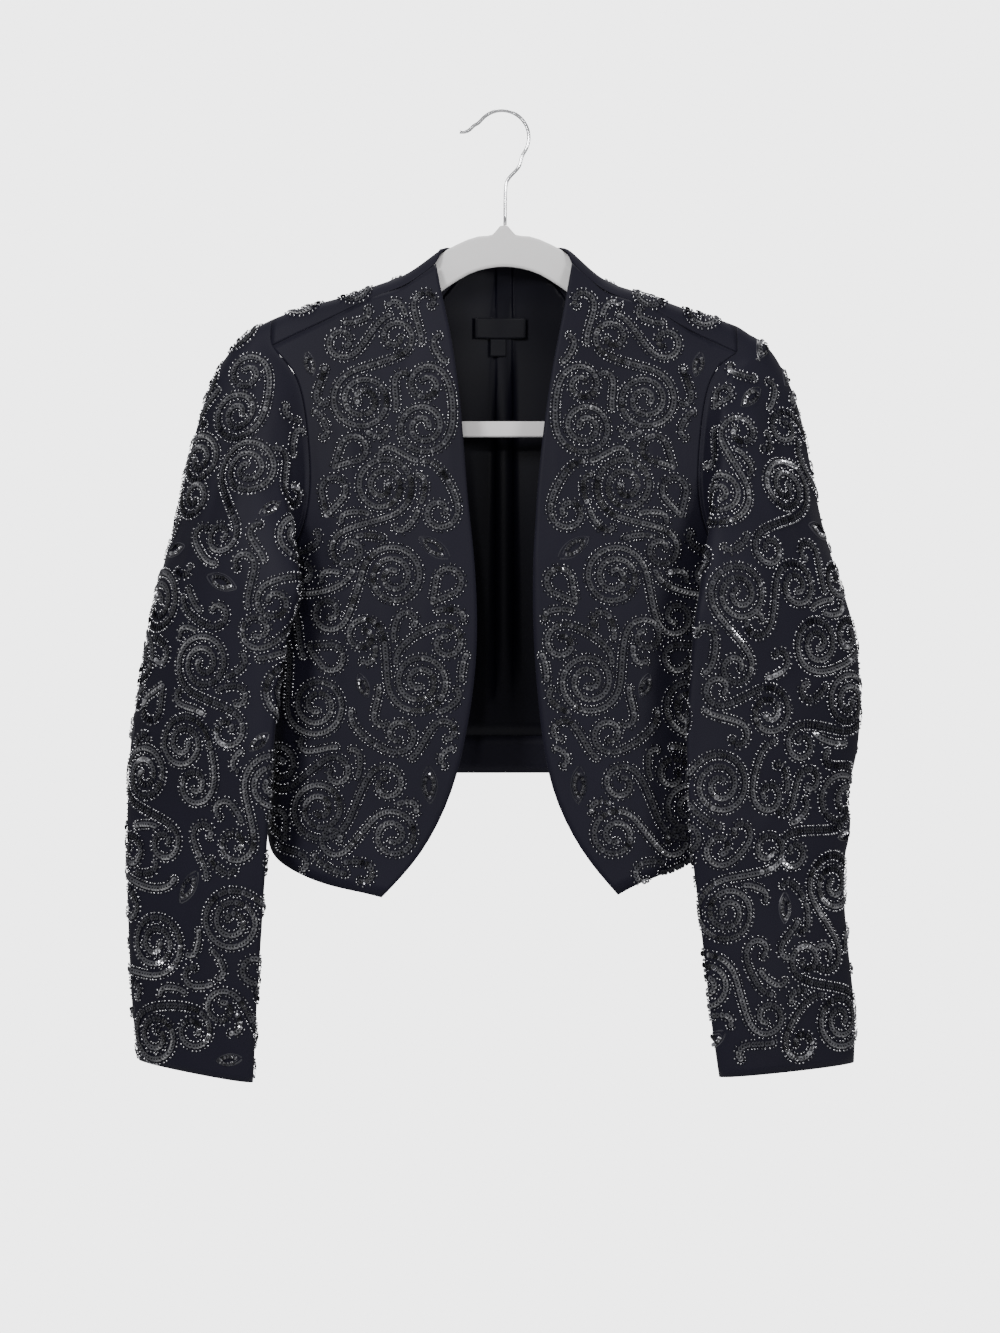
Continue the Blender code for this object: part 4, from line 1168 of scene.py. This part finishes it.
def sew_leaves(name):
    """Sew the leaves of one piece."""
    points, faces, sequins = [], [], []
    leaves = [(shape["first"], steps, flip) for shape, steps, flip in LAYOUT[name] if shape["kind"] == "leaf"]
    for long, steps, flip in leaves:
        inner = smaller_leaf(name, long, steps, flip, **INNER_OUTLINE)
        loop = smaller_leaf(name, long, steps, flip, **SEQUIN_LOOP)
        cord(steps + steps[:1], points, faces)
        cord(inner + inner[:1], points, faces)
        rows = along_walk(loop, LEAF_SEQUIN_PITCH, True)
        sequins += [(place + facing * LEAF_SEQUIN_LIFT, way, facing) for place, way, facing in rows]
    mesh = bpy.data.meshes.new(f"{name}_leaves")
    mesh.from_pydata((np.array(points) * MM).tolist(), [], faces)
    show(f"{name}_leaves", mesh, THREAD_WITH_PAINTED_SHEEN, "shell_cloth")
    cup = sequin_template(LEAF_SEQUIN_RADIUS)
    return len(faces) + joined(f"{name}_leaf_sequins", cup, sequins, GLOSSY_SEQUIN_WITH_PAINTED_REFLECTION, LEAF_SEQUIN_LEAN, False)


print("leaf triangles:", {name: sew_leaves(name) for name in LAYOUT})

# %% [markdown]
# ## The sizes of the cut cloth
#
# The size each sheet of cloth was cut to is worked out here. A tape measure laid level round the outer
# side, at many heights, gives the width. The area of the outer side is the area of the cut. The flat
# pieces inside the back are simply as wide and as tall as their boxes.

TAPE_MARKS = 24
TAPE_HALF_MM = 4.0
TAPE_STEP_MM = 12.0
TAPE_END_MM = 20


def tape(name, z):
    """The length of the level line round an outer side at one height."""
    centres = outer[name].centres
    near = centres[np.abs(centres[:, 2] - z) < TAPE_HALF_MM][:, :2]
    if len(near) < 2 * TAPE_MARKS:
        return 0.0
    closed = name.startswith("sleeve")
    spread = near - near.mean(axis=0)
    order = np.argsort(np.arctan2(spread[:, 1], spread[:, 0]) if closed else near[:, 0])
    line = np.array([group.mean(axis=0) for group in np.array_split(near[order], TAPE_MARKS)])
    if closed:
        line = np.concatenate([line, line[:1]])
    return float(np.linalg.norm(np.diff(line, axis=0), axis=1).sum())


def declare(name):
    """The flat width, length and area of one outer side."""
    side = outer[name]
    top = side.centres[:, 2].max() - TAPE_END_MM
    bottom = side.centres[:, 2].min() + TAPE_END_MM
    widest = max(tape(name, z) for z in np.arange(top, bottom, -TAPE_STEP_MM)) * MM
    length = side.tall * MM
    area = side.area * MM**2
    width = max(widest, area / length)
    return round(width, 3), round(length, 3), round(area, 4)


cut = {name: declare(name) for name in outer}
for name in ("lining_back", "hem_facing_back", "neck_label", "size_tab"):
    low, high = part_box(name)
    cut[name] = (round(high.x - low.x, 3), round(high.z - low.z, 3))
print("cut sizes, m:", cut)
